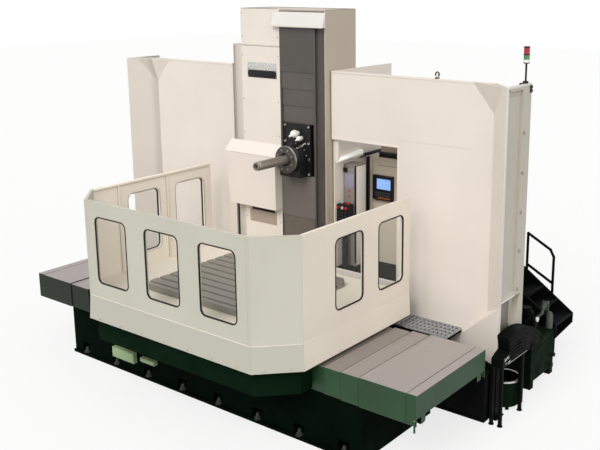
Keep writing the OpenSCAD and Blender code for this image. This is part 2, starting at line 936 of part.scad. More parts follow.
// Mushroom-headed push button
module push_button(i) {
    y = box_front + box_depth / 2;
    rod_z(button_neck_r, box_high - 2 * button_neck_r, box_high + button_travel + seat, button_x(i), y);
    rod_z(button_r, box_high + button_travel + seat, box_high + button_travel + seat + button_head_h,
        button_x(i), y);
}

module stop_button() { color("#c0242a") push_button(1); }
module start_button() { color("#b9bdb8") push_button(0); }

// Signal tower on the end of the right wall
module signal_pole() {
    color("#d7d5cf") {
        rod_z(tower_base_r, wall_top, wall_top + tower_base_h, tower_x, tower_y);
        rod_z(tower_pole_r, wall_top + tower_base_h, tower_lamp_low, tower_x, tower_y);
        block(tower_x - 2 * tower_base_r, wall_half_w - end_recess - end_sheet_t, tower_y - tower_base_r,
            tower_y + tower_base_r, wall_top - tower_base_h, wall_top);
    }
}

module green_lamp() {
    color("#3f9a58") rod_z(tower_lamp_r, tower_lamp_low, tower_lamp_low + tower_lamp_h, tower_x, tower_y);
}

module red_lamp() {
    color("#d23a30") {
        rod_z(tower_lamp_r, tower_lamp_low + tower_lamp_h, tower_lamp_low + 2 * tower_lamp_h - tower_cap,
            tower_x, tower_y);
        rod_z(tower_lamp_r - tower_cap, tower_lamp_low + 2 * tower_lamp_h - tower_cap,
            tower_lamp_low + 2 * tower_lamp_h, tower_x, tower_y);
    }
}

// Coolant tank behind the right end, on low feet
module coolant_tank() {
    color("#16261e") {
        block(tank_left, tank_right, tank_front, tank_back, tank_foot, tank_top);
        for (x = [tank_left, tank_right - tank_foot], y = [tank_front, tank_back - tank_foot])
            block(x, x + tank_foot, y, y + tank_foot, 0, tank_foot);
    }
}

module coolant_pump() {
    color("#3a4440") {
        rod_z(pump_flange_r, tank_top, tank_top + pump_flange_h, pump_x, pump_y);
        rod_z(pump_r, tank_top + pump_flange_h, tank_top + pump_h, pump_x, pump_y);
        rod_z(pump_cap_r, tank_top + pump_h, tank_top + pump_h + pump_cap_h, pump_x, pump_y);
    }
}

// Head of the chip conveyor over the drum: an arched housing on legs, with a neck into the wall's end
module chip_chute() {
    left = wall_half_w;
    color("#141a18") {
        intersection() {
            block(left, chute_right, chute_front, chute_back, chute_low, chute_top);
            rod_x(chute_arch_r, left, chute_right, (chute_front + chute_back) / 2, chute_top - chute_arch_r);
        }
        block(chute_neck, left, chute_neck_front, chute_neck_back, chute_low, chute_low + chute_neck_h);
        for (p = [[left, chute_front], [chute_right - chute_leg, chute_front],
                [chute_right - chute_leg, chute_back - chute_leg_inset]])
            block(p[0], p[0] + chute_leg, p[1], p[1] + chute_leg, 0, chute_low);
    }
}

// Open drum for chips, with a rolled rim and four feet
module chip_drum() {
    color("#1d2a24") translate([drum_x, drum_y, 0]) {
        rotate_extrude()
            polygon([[0, drum_low], [drum_r, drum_low], [drum_r, drum_top - drum_rim],
                [drum_r + drum_rim, drum_top - drum_rim], [drum_r + drum_rim, drum_top],
                [drum_r - drum_wall, drum_top], [drum_r - drum_wall, drum_low + drum_wall],
                [0, drum_low + drum_wall]]);
        for (a = [45 : 90 : 315])
            rotate([0, 0, a]) translate([drum_r - 2 * drum_foot_r, 0, 0])
                cylinder(r = drum_foot_r, h = drum_low);
    }
}

// Outline of the guard in plan, drawn in by an inset
module guard_outline(inset) {
    w = guard_hw - inset;
    f = guard_front - inset;
    c = guard_corner - inset * (2 - sqrt(2));
    translate([table_x, 0]) polygon([[-w, guard_rear], [-w, -f + c], [-w + c, -f], [w - c, -f], [w, -f + c],
        [w, guard_rear]]);
}

// Saddle on the table bed: a core on the rails, a platform under the deck and a front apron
module saddle() {
    shelf_low = guard_bottom + cut;
    color("#16301f") difference() {
        union() {
            block(table_x - saddle_hx, table_x + saddle_hx, -saddle_hy, saddle_hy, rail_top + seat,
                saddle_deck);
            translate([0, 0, shelf_low]) linear_extrude(saddle_deck - shelf_low)
                intersection() {
                    guard_outline(apron_inset);
                    translate([table_x - guard_hw, -guard_front]) square([guard_w, guard_front + apron_back]);
                }
            translate([0, 0, apron_low]) linear_extrude(shelf_low - apron_low)
                intersection() {
                    guard_outline(apron_inset);
                    translate([table_x - guard_hw, -guard_front]) square([guard_w, guard_front - apron_back]);
                }
        }
        rod_z(pivot_r + run_gap, saddle_deck - pivot_h - seat, saddle_deck + cut, table_x, 0);
    }
}

// Section through a guard panel: upright above the bend, leaning outwards below it
module guard_section() {
    polygon([[-guard_lean, guard_bottom], [guard_t - guard_lean, guard_bottom], [guard_t, guard_bend],
        [guard_t, guard_top], [0, guard_top], [0, guard_bend]]);
}

// A guard panel along local X with its outer face at y = 0, mitred where asked, with windows
module guard_panel(len, m0, m1, windows, window_w) {
    difference() {
        intersection() {
            bar_x(-guard_reach, len + guard_reach) guard_section();
            linear_extrude(guard_top + cut)
                polygon([[mitre_gap - m0 * guard_reach, -guard_reach],
                    [len - mitre_gap + m1 * guard_reach, -guard_reach],
                    [len - mitre_gap - m1 * guard_reach, guard_reach],
                    [mitre_gap + m0 * guard_reach, guard_reach]]);
        }
        for (x = windows)
            plate_y(-cut, guard_t + cut) translate([x, window_mid])
                rounded_rect(window_w, window_h, window_r);
    }
}

// Middles of the windows along the panels
front_windows = [for (k = [-1 : 1]) front_len * (0.5 + k * front_window_pitch_share)];
right_windows = [for (k = [0, 1]) side_blank + side_bay * (k + 0.5)];
left_windows = [for (k = [0, 1]) side_len - side_blank - side_bay * (k + 0.5)];

// Frames of the five panels round the table
module at_front() { translate([table_x - guard_hw + guard_corner, -guard_front, 0]) children(); }
module at_right_corner() {
    translate([table_x + guard_hw - guard_corner, -guard_front, 0]) rotate([0, 0, 45]) children();
}
module at_left_corner() {
    translate([table_x - guard_hw, -guard_front + guard_corner, 0]) rotate([0, 0, -45]) children();
}
module at_right() {
    translate([table_x + guard_hw, -guard_front + guard_corner, 0]) rotate([0, 0, 90]) children();
}
module at_left() { translate([table_x - guard_hw, guard_rear, 0]) rotate([0, 0, -90]) children(); }

module guard_front_panel() {
    color("#d3d2c5") at_front()
        guard_panel(front_len, guard_mitre, guard_mitre, front_windows, front_window_w);
}
module guard_corners() {
    color("#d3d2c5") {
        at_right_corner() guard_panel(corner_len, guard_mitre, guard_mitre, [], side_window_w);
        at_left_corner() guard_panel(corner_len, guard_mitre, guard_mitre, [], side_window_w);
    }
}
module guard_right_panel() {
    color("#e3dfd4") at_right() guard_panel(side_len, guard_mitre, 0, right_windows, side_window_w);
}
module guard_left_panel() {
    color("#e3dfd4") at_left() guard_panel(side_len, 0, guard_mitre, left_windows, side_window_w);
}

// Pale deck between the guard and the table, on posts from the saddle
module guard_deck() {
    post = 2 * guard_t;
    color("#e8dfd0") {
        difference() {
            translate([0, 0, deck_top - deck_t]) linear_extrude(deck_t) guard_outline(guard_t + seat);
            rod_z(deck_hole_r, deck_top - deck_t - cut, deck_top + cut, table_x, 0);
        }
        for (x = [-1, 1], y = [-1, 1])
            translate([table_x + x * (saddle_hx - post), y * (apron_back - post) - post / 2, saddle_deck])
                cube([post, post, deck_top - deck_t - saddle_deck]);
    }
}

// A gasket frame and a pane for every window, in the panels' own frames
module gaskets(windows, w) {
    for (x = windows)
        plate_y(-gasket_proud, gasket_d) translate([x, window_mid]) difference() {
            rounded_rect(w, window_h, window_r);
            rounded_rect(w - 2 * gasket_w, window_h - 2 * gasket_w, window_r - gasket_w);
        }
}
module panes(windows, w) {
    for (x = windows)
        plate_y(pane_setback, pane_setback + pane_t) translate([x, window_mid])
            rounded_rect(w - 2 * gasket_w, window_h - 2 * gasket_w, window_r - gasket_w);
}

module window_gaskets() {
    color("#2a2a28") {
        at_front() gaskets(front_windows, front_window_w);
        at_right() gaskets(right_windows, side_window_w);
        at_left() gaskets(left_windows, side_window_w);
    }
}
module window_panes() {
    color("#cfd8d6", 0.3) {
        at_front() panes(front_windows, front_window_w);
        at_right() panes(right_windows, side_window_w);
        at_left() panes(left_windows, side_window_w);
    }
}

// Rotary table: a slotted top on a turntable, with a pivot in the saddle and a centring bore
module rotary_table() {
    hx = table_len / 2;
    hy = table_w / 2;
    color("#8d8a86") translate([table_x, 0, 0]) difference() {
        union() {
            translate([0, 0, table_top - table_t]) linear_extrude(table_t)
                polygon([[-hx, -hy + table_corner], [-hx + table_corner, -hy], [hx - table_corner, -hy],
                    [hx, -hy + table_corner], [hx, hy - table_corner], [hx - table_corner, hy],
                    [-hx + table_corner, hy], [-hx, hy - table_corner]]);
            translate([0, 0, saddle_deck + seat])
                cylinder(r = turntable_r, h = table_top - table_t - saddle_deck - seat);
            translate([0, 0, saddle_deck - pivot_h]) cylinder(r = pivot_r, h = pivot_h + cut);
        }
        for (i = [0 : slot_count - 1])
            translate([0, (i - (slot_count - 1) / 2) * slot_pitch, 0]) {
                translate([-hx - cut, -slot_w / 2, table_top - slot_neck_h])
                    cube([table_len + 2 * cut, slot_w, slot_neck_h + cut]);
                translate([-hx - cut, -slot_t_w / 2, table_top - slot_neck_h - slot_t_h])
                    cube([table_len + 2 * cut, slot_t_w, slot_t_h]);
            }
        translate([0, 0, table_top - centre_bore_depth])
            cylinder(r = centre_bore_r, h = centre_bore_depth + cut);
    }
}

// Column casting on the rails of its bed, open from front to back for the headstock
module column_casting() {
    color("#4b4f4c") difference() {
        union() {
            block(column_left + casing_t, column_right - casing_t, casting_front, casting_back,
                rail_top + seat, column_top - casing_t);
            block(column_left + casing_t, column_right - casing_t, casting_front, column_base_back,
                rail_top + seat, casing_low - cut);
        }
        block(head_slot_left + layer_inset, head_slot_right - layer_inset, casting_front - cut,
            casting_back + cut, head_slot_low, head_slot_top);
    }
}

// Sheet casing round the sides, the back and the top of the column
module column_casing() {
    color("#e9e2d8") {
        block(column_right - casing_t, column_right, column_front, column_back, casing_low, column_top);
        block(column_left, column_left + casing_t, column_front + front_sheet, column_back, casing_low,
            column_top);
        block(column_left, head_slot_left, column_back - casing_t, column_back, casing_low, column_top);
        block(head_slot_right, column_right, column_back - casing_t, column_back, casing_low, column_top);
        block(column_left, column_right, column_front + front_sheet, column_back, column_top - casing_t,
            column_top);
        block(wing_left, column_left, wing_y0, wing_y1, casing_low, wing_top);
    }
}

// Flat covers on the front left of the column, with a seam, and a recessed panel under a slot
module column_front_covers() {
    left = column_left;
    right = head_slot_left - layer_inset;
    color("#ebe4da") difference() {
        union() {
            block(left, right, column_front, column_front + front_sheet, casing_low, column_seam_z);
            block(left, right, column_front, column_front + front_sheet, column_seam_z + column_seam_w,
                column_top);
            block(left + casing_t, right, column_front + front_sheet, casting_front, casing_low,
                column_top - casing_t);
        }
        block(inset_left, inset_right, column_front - cut, column_front + inset_d, inset_low, inset_high);
        block(inset_left, inset_right, column_front - cut, column_front + inset_slot_d, inset_high,
            changer_low);
    }
}

// Dark frame of the slot: guides with a groove for each layer of plates, a recessed strip at the
// right and fixed cover plates at both ends
module slot_frame() {
    left = head_slot_left + layer_inset;
    right = head_slot_right - layer_inset;
    color("#454543") {
        block(head_slot_left - layer_inset, left - seat, column_front, casting_front, head_slot_low,
            head_slot_top);
        block(right + seat, head_slot_right + guide_w, column_front, casting_front, head_slot_low,
            head_slot_top);
        for (i = [1 : 3]) {
            y0 = column_front + (i - 1) * layer_pitch + layer_t + seat;
            y1 = column_front + i * layer_pitch - seat;
            block(head_slot_left - layer_inset, left + guide_w, y0, y1, head_slot_low, head_slot_top);
            block(right - guide_w, head_slot_right + guide_w, y0, y1, head_slot_low, head_slot_top);
        }
        block(head_slot_right, column_right - casing_t, column_front + frame_recess, casting_front,
            casing_low, column_top - casing_t);
        block(left, right, column_front, column_front + layer_t, upper_fixed_edge, head_slot_top);
        block(left, right, column_front, casting_front, head_slot_top, column_top - casing_t);
        block(left, right, column_front + 3 * layer_pitch, column_front + 3 * layer_pitch + layer_t,
            head_slot_low, lower_fixed_edge);
        block(left, right, column_front + 3 * layer_pitch, casting_front, casing_low, head_slot_low);
    }
}

// Sloping hood over the top of the slot
module column_hood() {
    color("#f1ece3") bar_x(hood_left, column_right)
        polygon([[column_front, head_slot_top], [column_front - hood_out, head_slot_top],
            [column_front - hood_out, head_slot_top + hood_lip], [column_front, hood_top]]);
}

// Cover of the tool changer beside the spindle: a slanting left edge and a sloping roof
module tool_changer_cover() {
    color("#ece5db") difference() {
        union() {
            plate_y(changer_front, column_front)
                polygon([[changer_foot_left, changer_low], [changer_right, changer_low],
                    [changer_right, changer_high], [changer_left, changer_high]]);
            bar_x(changer_left, changer_right)
                polygon([[changer_front, changer_high], [column_front, changer_high],
                    [column_front, changer_top]]);
        }
        block(changer_foot_left + changer_rim, changer_right - changer_rim, changer_front + changer_well,
            column_front - changer_well, changer_low - cut, changer_low + changer_well);
    }
}

// A sliding cover plate of the headstock's slot: its lower edge, length and layer from the front
module slot_cover(z, len, layer) {
    y = column_front + layer * layer_pitch;
    color("#5b5854") block(head_slot_left + layer_inset, head_slot_right - layer_inset, y, y + layer_t, z,
        z + len);
}
module upper_cover_2() { slot_cover(upper_fixed_edge - upper_pitch, upper_plate_len, 1); }
module upper_cover_3() { slot_cover(upper_fixed_edge - 2 * upper_pitch, upper_plate_len, 2); }
module lower_cover_2() { slot_cover(head_slot_low + lower_pitch, lower_plate_len, 2); }
module lower_cover_3() { slot_cover(head_slot_low + 2 * lower_pitch, lower_plate_len, 1); }

// Headstock: body in the column, front plate with its own two cover plates, and the nose
module headstock() {
    nose_len = plate_front - nose_front;
    left = head_slot_left + layer_inset;
    right = head_slot_right - layer_inset;
    color("#202326") difference() {
        union() {
            block(left + head_rail_w, right - head_rail_w, casting_front + cut, body_back, body_low,
                body_high);
            block(left + seat, right - seat, casting_front + head_rail_w, casting_back - head_rail_w,
                body_low, body_high);
            block(-plate_hw, plate_hw, plate_front, casting_front + cut, plate_low, plate_high);
            block(left, right, column_front + 3 * layer_pitch, column_front + 3 * layer_pitch + layer_t,
                plate_high - neck_gap, plate_high + upper_plate_len);
            block(left, right, column_front, column_front + layer_t, plate_low - lower_plate_len,
                plate_low + neck_gap);
            turned(nose_front)
                polygon([[0, 0], [nose_r - nose_chamfer, 0], [nose_r, nose_chamfer],
                    [nose_r, nose_len - nose_flange_t], [nose_flange_r, nose_len - nose_flange_t],
                    [nose_flange_r, nose_len], [0, nose_len]]);
            block(-nose_r, nose_r, nose_front + neck_gap, plate_front, plate_low, spindle_z);
        }
        rod_y(sleeve_shaft_r + run_gap, nose_front - cut, sleeve_back + seat, 0, spindle_z);
        rod_y(spindle_r + cut, nose_front, spindle_bore_back, 0, spindle_z);
    }
}

// A ball on a short arm that stands on the headstock's plate
module spray_ball(r, reach, x, z) {
    translate([x, plate_front - reach, z]) sphere(r = r);
    rod_y(nozzle_arm_r, plate_front - reach, plate_front, x, z);
}

// Pale swivelling spray nozzles on the headstock's plate
module spray_nozzle() {
    color("#f2f1ec") {
        spray_ball(nozzle_r, nozzle_len, nozzle_x, nozzle_z);
        spray_ball(small_nozzle_r, small_nozzle_len, nozzle_x + nozzle_step, nozzle_z - nozzle_step);
    }
}

// Milling sleeve: a stepped flange with a wide mouth, on a shaft bored for the boring spindle
module milling_sleeve() {
    bore = spindle_r + run_gap;
    back = sleeve_back - sleeve_front;
    color("#86867e") turned(sleeve_front)
        polygon([[sleeve_mouth_r, 0], [sleeve_r - sleeve_chamfer, 0], [sleeve_r, sleeve_chamfer],
            [sleeve_r, sleeve_rim], [sleeve_r - sleeve_step, sleeve_rim],
            [sleeve_r - sleeve_step, sleeve_flange_t], [sleeve_shaft_r, sleeve_flange_t],
            [sleeve_shaft_r, back], [bore, back], [bore, sleeve_mouth_d], [sleeve_mouth_r, sleeve_mouth_d]]);
}

// Boring spindle with a collar and the taper socket at its front end
module boring_spindle() {
    back = spindle_back - spindle_tip;
    color("#b5b2ac") turned(spindle_tip)
        polygon([[taper_r, 0], [spindle_collar_r, 0], [spindle_collar_r, spindle_collar_len],
            [spindle_r, spindle_collar_len + spindle_chamfer], [spindle_r, back], [0, back], [0, taper_d],
            [taper_small_r, taper_d]]);
}

x_bed();
anchor_bolts();
guideways();
cover_rails();
z_bed();
bed_terminal_boxes();
right_cover_1();
right_cover_2();
right_cover_3();
right_cover_4();
left_cover_1();
left_cover_2();
left_cover_3();
left_cover_4();
left_wall();
right_wall();
end_panels();
wall_stands();
foot_grating();
platform();
stairs();
handrail();
control_cabinet();
display_unit();
display_screen();
wiring_cabinet();
work_lamp();
operation_box();
stop_button();
start_button();
signal_pole();
green_lamp();
red_lamp();
coolant_tank();
coolant_pump();
chip_chute();
chip_drum();
saddle();
guard_front_panel();
guard_corners();
guard_right_panel();
guard_left_panel();
guard_deck();
window_gaskets();
window_panes();
rotary_table();
column_casting();
column_casing();
column_front_covers();
slot_frame();
column_hood();
tool_changer_cover();
upper_cover_2();
upper_cover_3();
lower_cover_2();
lower_cover_3();
headstock();
spray_nozzle();
milling_sleeve();
boring_spindle();
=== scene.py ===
"""Dressed model of a table-type horizontal boring mill: finishes for its solids, and the fittings on them.

Everything is in metres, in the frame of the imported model: the spindle points to -Y and Z is up.
"""
from math import cos, pi, radians, sin

import bmesh
import bpy
from mathutils import Matrix, Vector


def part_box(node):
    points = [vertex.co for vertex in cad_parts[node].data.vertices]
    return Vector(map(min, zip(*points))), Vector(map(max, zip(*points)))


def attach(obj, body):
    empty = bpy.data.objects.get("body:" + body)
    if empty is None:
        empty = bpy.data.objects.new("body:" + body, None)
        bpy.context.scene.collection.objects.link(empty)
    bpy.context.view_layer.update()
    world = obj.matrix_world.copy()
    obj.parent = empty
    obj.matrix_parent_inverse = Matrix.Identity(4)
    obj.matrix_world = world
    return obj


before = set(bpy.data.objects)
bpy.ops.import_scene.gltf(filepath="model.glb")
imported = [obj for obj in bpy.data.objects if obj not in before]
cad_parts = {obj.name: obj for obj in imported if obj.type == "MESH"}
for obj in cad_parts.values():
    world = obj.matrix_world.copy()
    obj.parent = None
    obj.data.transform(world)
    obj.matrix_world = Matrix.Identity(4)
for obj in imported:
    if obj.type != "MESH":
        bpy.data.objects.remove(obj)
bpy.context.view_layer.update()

scene = bpy.context.scene

# Camera, fitted to the photograph
AZIMUTH = radians(36.6)
ELEVATION = radians(12.79)
FOCAL_PX = 878.88
IMAGE_W = 600
IMAGE_H = 450
AXIS_PX = (357.29, 180.27)
EYE = (8.0586, -8.0861, 5.4051)
SENSOR = 36.0


def place_camera():
    """The photograph's viewpoint, with its framing set by the lens shift."""
    data = bpy.data.cameras.new("photo_camera")
    data.sensor_fit = "HORIZONTAL"
    data.sensor_width = SENSOR
    data.lens = FOCAL_PX / IMAGE_W * SENSOR
    data.shift_x = (IMAGE_W / 2 - AXIS_PX[0]) / IMAGE_W
    data.shift_y = (AXIS_PX[1] - IMAGE_H / 2) / IMAGE_W
    data.clip_end = 100
    camera = bpy.data.objects.new("photo_camera", data)
    camera.location = EYE
    camera.rotation_euler = (pi / 2 - ELEVATION, 0, AZIMUTH)
    scene.collection.objects.link(camera)
    scene.camera = camera


def srgb(r, g, b):
    """A colour as it looks on screen, 0 to 255, as the linear colour of a shader."""
    def linear(c):
        c = c / 255
        return c / 12.92 if c <= 0.04045 else ((c + 0.055) / 1.055) ** 2.4
    return (linear(r), linear(g), linear(b), 1)


def shaded(colour, share):
    """The same colour, darker or lighter."""
    return (colour[0] * share, colour[1] * share, colour[2] * share, 1)


def feed(tree, node, inputs):
    """Sets inputs of a node. An input that is given a socket is linked to it."""
    for key, value in inputs.items():
        if isinstance(value, bpy.types.NodeSocket):
            tree.links.new(value, node.inputs[key])
        else:
            node.inputs[key].default_value = value


def add_node(tree, kind, inputs, **values):
    """A new node with its values and inputs."""
    node = tree.nodes.new("ShaderNode" + kind)
    for key, value in values.items():
        setattr(node, key, value)
    feed(tree, node, inputs)
    return node


class Finish:
    """A procedural material: its node tree and the sockets that its surface is built from."""

    def __init__(self, name, shine=0.5, metal=0.0):
        self.material = bpy.data.materials.new(name)
        self.material.use_nodes = True
        self.tree = self.material.node_tree
        self.coords = self.add("TexCoord").outputs
        self.surface({"Specular IOR Level": shine, "Metallic": metal})

    def add(self, kind, inputs=None, **values):
        return add_node(self.tree, kind, inputs or {}, **values)

    def surface(self, inputs):
        """Sets or links inputs of the material's shader."""
        feed(self.tree, self.tree.nodes["Principled BSDF"], inputs)

    def noise(self, scale, detail=3.0, stretch=(1, 1, 1), roughness=0.5):
        """Cloudy pattern in the object's frame, stretched so that it gets a direction."""
        place = self.add("Mapping", {"Scale": stretch, "Vector": self.coords["Object"]})
        return self.add("TexNoise", {
            "Scale": scale, "Detail": detail, "Roughness": roughness,
            "Vector": place.outputs["Vector"]}).outputs["Fac"]

    def between(self, factor, low, high, first=0, last=1):
        """A number that runs from first to last as the factor runs from low to high."""
        return self.add("MapRange", {
            "Value": factor, "From Min": low, "From Max": high,
            "To Min": first, "To Max": last}).outputs["Result"]

    def product(self, first, second):
        return self.add("Math", {0: first, 1: second}, operation="MULTIPLY").outputs["Value"]

    def part(self, source, axis):
        """One of X, Y and Z of the place (Object) or of the direction of the surface (Normal)."""
        return self.add("SeparateXYZ", {"Vector": self.coords[source]}).outputs[axis]

    def mixed(self, factor, first, second):
        """One colour or the other, by a factor. A colour is a value or a socket."""
        return self.add("Mix", {"Factor": factor, "A": first, "B": second},
                        data_type="RGBA").outputs["Result"]

    def veil(self, factor, low, high, share, under, over):
        """A colour over another: none of it where the factor is low, a share of it where it is high."""
        return self.mixed(self.between(factor, low, high, 0, share), under, over)

    def shades(self, factor, low, high, colour, first, last):
        """A colour that goes from one shade of itself to another as the factor runs from low to high."""
        return self.veil(factor, low, high, 1, shaded(colour, first), shaded(colour, last))

    def rounded(self, radius):
        """The direction of the surface, with its edges rounded."""
        return self.add("Bevel", {"Radius": radius}, samples=4).outputs["Normal"]

    def edges(self, radius, sharpness):
        """How far a point is on an edge: the rounded normal set against the flat one."""
        flat = self.add("NewGeometry").outputs["Normal"]
        dot = self.add("VectorMath", {0: self.rounded(radius), 1: flat}, operation="DOT_PRODUCT")
        return self.between(dot.outputs["Value"], 1 - sharpness, 1, 1, 0)

    def rough(self, factor, low, high):
        self.surface({"Roughness": self.between(factor, 0.3, 0.7, low, high)})

    def relief(self, height, distance, strength, soft_edge=0.0):
        """Surface relief from a height, over edges that are rounded a little."""
        inputs = {"Distance": distance, "Strength": strength, "Height": height}
        if soft_edge:
            inputs["Normal"] = self.rounded(soft_edge)
        self.surface({"Normal": self.add("Bump", inputs).outputs["Normal"]})

    def colour(self, socket):
        self.surface({"Base Color": socket})


def sheet_paint(name, colour, gloss=0.36, shaded_below=None, shade_ranges=()):
    """Sprayed paint on folded sheet: orange peel, faint clouds and rubbed folds.

    Shade is painted into it: it is darker below a given height, and where the given ranges along X all reach.
    """
    fold = 0.004
    finish = Finish(name, 0.35)
    tone = finish.shades(finish.noise(0.9, 4.0), 0.3, 0.7, colour, 0.95, 1.025)
    streaks = finish.noise(2.0, 5.0, stretch=(3, 3, 0.25))
    tone = finish.veil(streaks, 0.62, 0.9, 0.3, tone, shaded(colour, 0.9))
    # Painted shade: darker below the given height.
    if shaded_below:
        below = finish.between(finish.part("Object", "Z"), shaded_below - 0.003, shaded_below + 0.003, 0.8, 0)
        tone = finish.mixed(below, tone, shaded(colour, 0.86))
    # Painted shade: darker where all the given ranges along X reach.
    if shade_ranges:
        across = finish.part("Object", "X")
        share = finish.between(across, *shade_ranges[0])
        for reach in shade_ranges[1:]:
            share = finish.product(share, finish.between(across, *reach))
        tone = finish.mixed(share, tone, shaded(colour, 0.68))
    finish.colour(finish.mixed(finish.edges(fold, 0.3), tone, shaded(colour, 0.82)))
    finish.rough(finish.noise(14, 4.0), gloss - 0.05, gloss + 0.08)
    finish.relief(finish.noise(320, 2.0), 0.0006, 0.14, soft_edge=fold)
    return finish.material


def cast_paint(name, colour, worn, gloss=0.42, shine=0.2):
    """Thick machine enamel on castings: a wavy skin, oily smears and chipped edges."""
    finish = Finish(name, shine)
    tone = finish.shades(finish.noise(1.6, 5.0), 0.3, 0.75, colour, 0.72, 1.25)
    smear = finish.noise(3.0, 6.0, stretch=(1, 1, 0.3), roughness=0.65)
    tone = finish.veil(smear, 0.58, 0.8, 0.5, tone, shaded(colour, 0.5))
    flakes = finish.between(finish.noise(26, 5.0, roughness=0.7), 0.48, 0.62)
    finish.colour(finish.mixed(finish.product(finish.edges(0.006, 0.25), flakes), tone, worn))
    finish.rough(finish.noise(7, 5.0), gloss - 0.1, gloss + 0.15)
    finish.relief(finish.noise(60, 4.0), 0.0012, 0.22, soft_edge=0.005)
    return finish.material


def ground_steel(name, colour, stretch=(1, 1, 1), gloss=0.34, metal=0.6):
    """Bare machined steel with the marks of the tool along one direction."""
    finish = Finish(name, 0.4, metal)
    marks = finish.noise(40, 5.0, stretch=stretch, roughness=0.7)
    tone = finish.shades(marks, 0.3, 0.7, colour, 0.8, 1.12)
    tone = finish.veil(finish.noise(2.2, 5.0), 0.55, 0.75, 0.4, tone, shaded(colour, 0.68))
    # Painted highlight: the edges are made lighter than the steel.
    finish.colour(finish.mixed(finish.edges(0.003, 0.3), tone, shaded(colour, 1.5)))
    finish.rough(marks, gloss - 0.08, gloss + 0.14)
    finish.relief(marks, 0.0004, 0.2, soft_edge=0.003)
    return finish.material


def slot_sheet(name, colour):
    """Brushed sheet of the covers in the column's slot."""
    return ground_steel(name, colour, (4, 1, 0.12), gloss=0.42, metal=0.3)


def way_cover(name, steel, paint):
    """Telescopic cover: bare brushed sheet on top, enamel on the sides and ends."""
    finish = Finish(name, 0.22)
    top = finish.between(finish.part("Normal", "Z"), 0.6, 0.7)
    grain = finish.noise(30, 5.0, stretch=(0.2, 6, 1), roughness=0.7)
    bare = finish.shades(grain, 0.3, 0.7, steel, 0.88, 1.08)
    scuffs = finish.noise(5, 6.0, stretch=(0.5, 1.5, 1), roughness=0.7)
    bare = finish.veil(scuffs, 0.6, 0.75, 0.3, bare, shaded(steel, 0.75))
    enamel = finish.shades(finish.noise(2.0, 5.0), 0.3, 0.7, paint, 0.8, 1.12)
    tone = finish.mixed(top, enamel, bare)
    finish.colour(finish.mixed(finish.edges(0.003, 0.3), tone, shaded(steel, 0.9)))
    finish.surface({"Metallic": finish.between(top, 0, 1, 0, 0.25)})
    finish.rough(grain, 0.38, 0.52)
    finish.relief(grain, 0.0004, 0.15, soft_edge=0.003)
    return finish.material


def head_casting(name, enamel, sheet, low, high):
    """Headstock: black enamel between two heights, brushed cover sheet above and below them.

    The sheet is painted lighter below, as a painted light, like the slot's lower covers.
    """
    finish = Finish(name, 0.3)
    height = finish.part("Object", "Z")
    black = finish.product(finish.between(height, low - 0.0005, low + 0.0005),
                           finish.between(height, high - 0.0005, high + 0.0005, 1, 0))
    grain = finish.noise(40, 5.0, stretch=(4, 1, 0.12), roughness=0.7)
    # Painted light: the bare sheet is made lighter below the black.
    bare = finish.add("VectorMath", {
        0: finish.shades(grain, 0.3, 0.7, sheet, 0.84, 1.1),
        "Scale": finish.between(height, low, high, 1.45, 1)}, operation="SCALE").outputs["Vector"]
    paint = finish.shades(finish.noise(5, 5.0), 0.3, 0.75, enamel, 0.7, 1.3)
    paint = finish.mixed(finish.edges(0.004, 0.25), paint, shaded(enamel, 4))
    finish.colour(finish.mixed(black, bare, paint))
    finish.rough(grain, 0.36, 0.5)
    finish.relief(grain, 0.0004, 0.15, soft_edge=0.004)
    return finish.material


def moulded(name, colour, gloss=0.45, grain=260, shine=0.35):
    """Moulded plastic or rubber with a fine grain."""
    finish = Finish(name, shine)
    speckle = finish.noise(grain, 3.0)
    finish.colour(finish.shades(speckle, 0.35, 0.65, colour, 0.86, 1.1))
    finish.rough(finish.noise(18, 4.0), gloss - 0.06, gloss + 0.1)
    finish.relief(speckle, 0.0004, 0.2, soft_edge=0.0015)
    return finish.material


def clear_pane(name, tint):
    """Clear safety glass with a trace of dust."""
    finish = Finish(name, 0.25)
    dust = finish.noise(3.0, 6.0, roughness=0.7)
    finish.colour(finish.shades(dust, 0.4, 0.8, tint, 1, 0.9))
    finish.surface({"Alpha": finish.between(dust, 0.4, 0.8, 0.02, 0.05), "Roughness": 0.06})
    return finish.material


def lens(name, colour, glow=0.05, rib_scale=30):
    """Coloured lens of a lamp, with moulded ribs round it."""
    finish = Finish(name)
    ribs = finish.add("TexWave", {"Scale": rib_scale, "Vector": finish.coords["Object"]},
                      wave_type="BANDS", bands_direction="Z").outputs["Fac"]
    finish.colour(finish.mixed(ribs, shaded(colour, 0.75), shaded(colour, 1.15)))
    finish.rough(finish.noise(20), 0.15, 0.25)
    finish.relief(ribs, 0.001, 0.4)
    finish.surface({"Emission Color": colour, "Emission Strength": glow})
    return finish.material


def screen_glow(name, low, high, pitch):
    """Lit display with soft blue fields and pale bars, and nothing that can be read."""
    finish = Finish(name)
    turn = finish.add("Mapping", {"Rotation": (pi / 2, 0, 0), "Vector": finish.coords["Object"]})
    bars = finish.add("TexBrick", {
        "Color1": low, "Color2": shaded(low, 1.4), "Mortar": high, "Scale": pitch, "Mortar Size": 0.03,
        "Vector": turn.outputs["Vector"]}).outputs["Color"]
    finish.colour(bars)
    finish.surface({"Emission Color": bars, "Emission Strength": 0.8})
    finish.rough(finish.noise(40), 0.12, 0.2)
    return finish.material


# Heights between which the headstock is black
PLATE_LOW = 2.68
PLATE_HIGH = 3.425
# Height of the bend in the guard's panels
GUARD_BEND = 1.41
# The left wall's fold, and the ends of the column's wing, along X; shade is painted along both
WALL_FOLD = -3.058
WING = (-1.2435, -1.0725)
SLOT_GREY = srgb(96, 91, 87)
HEAD_BLACK = srgb(20, 21, 22)
COVER_GREEN = srgb(46, 74, 50)

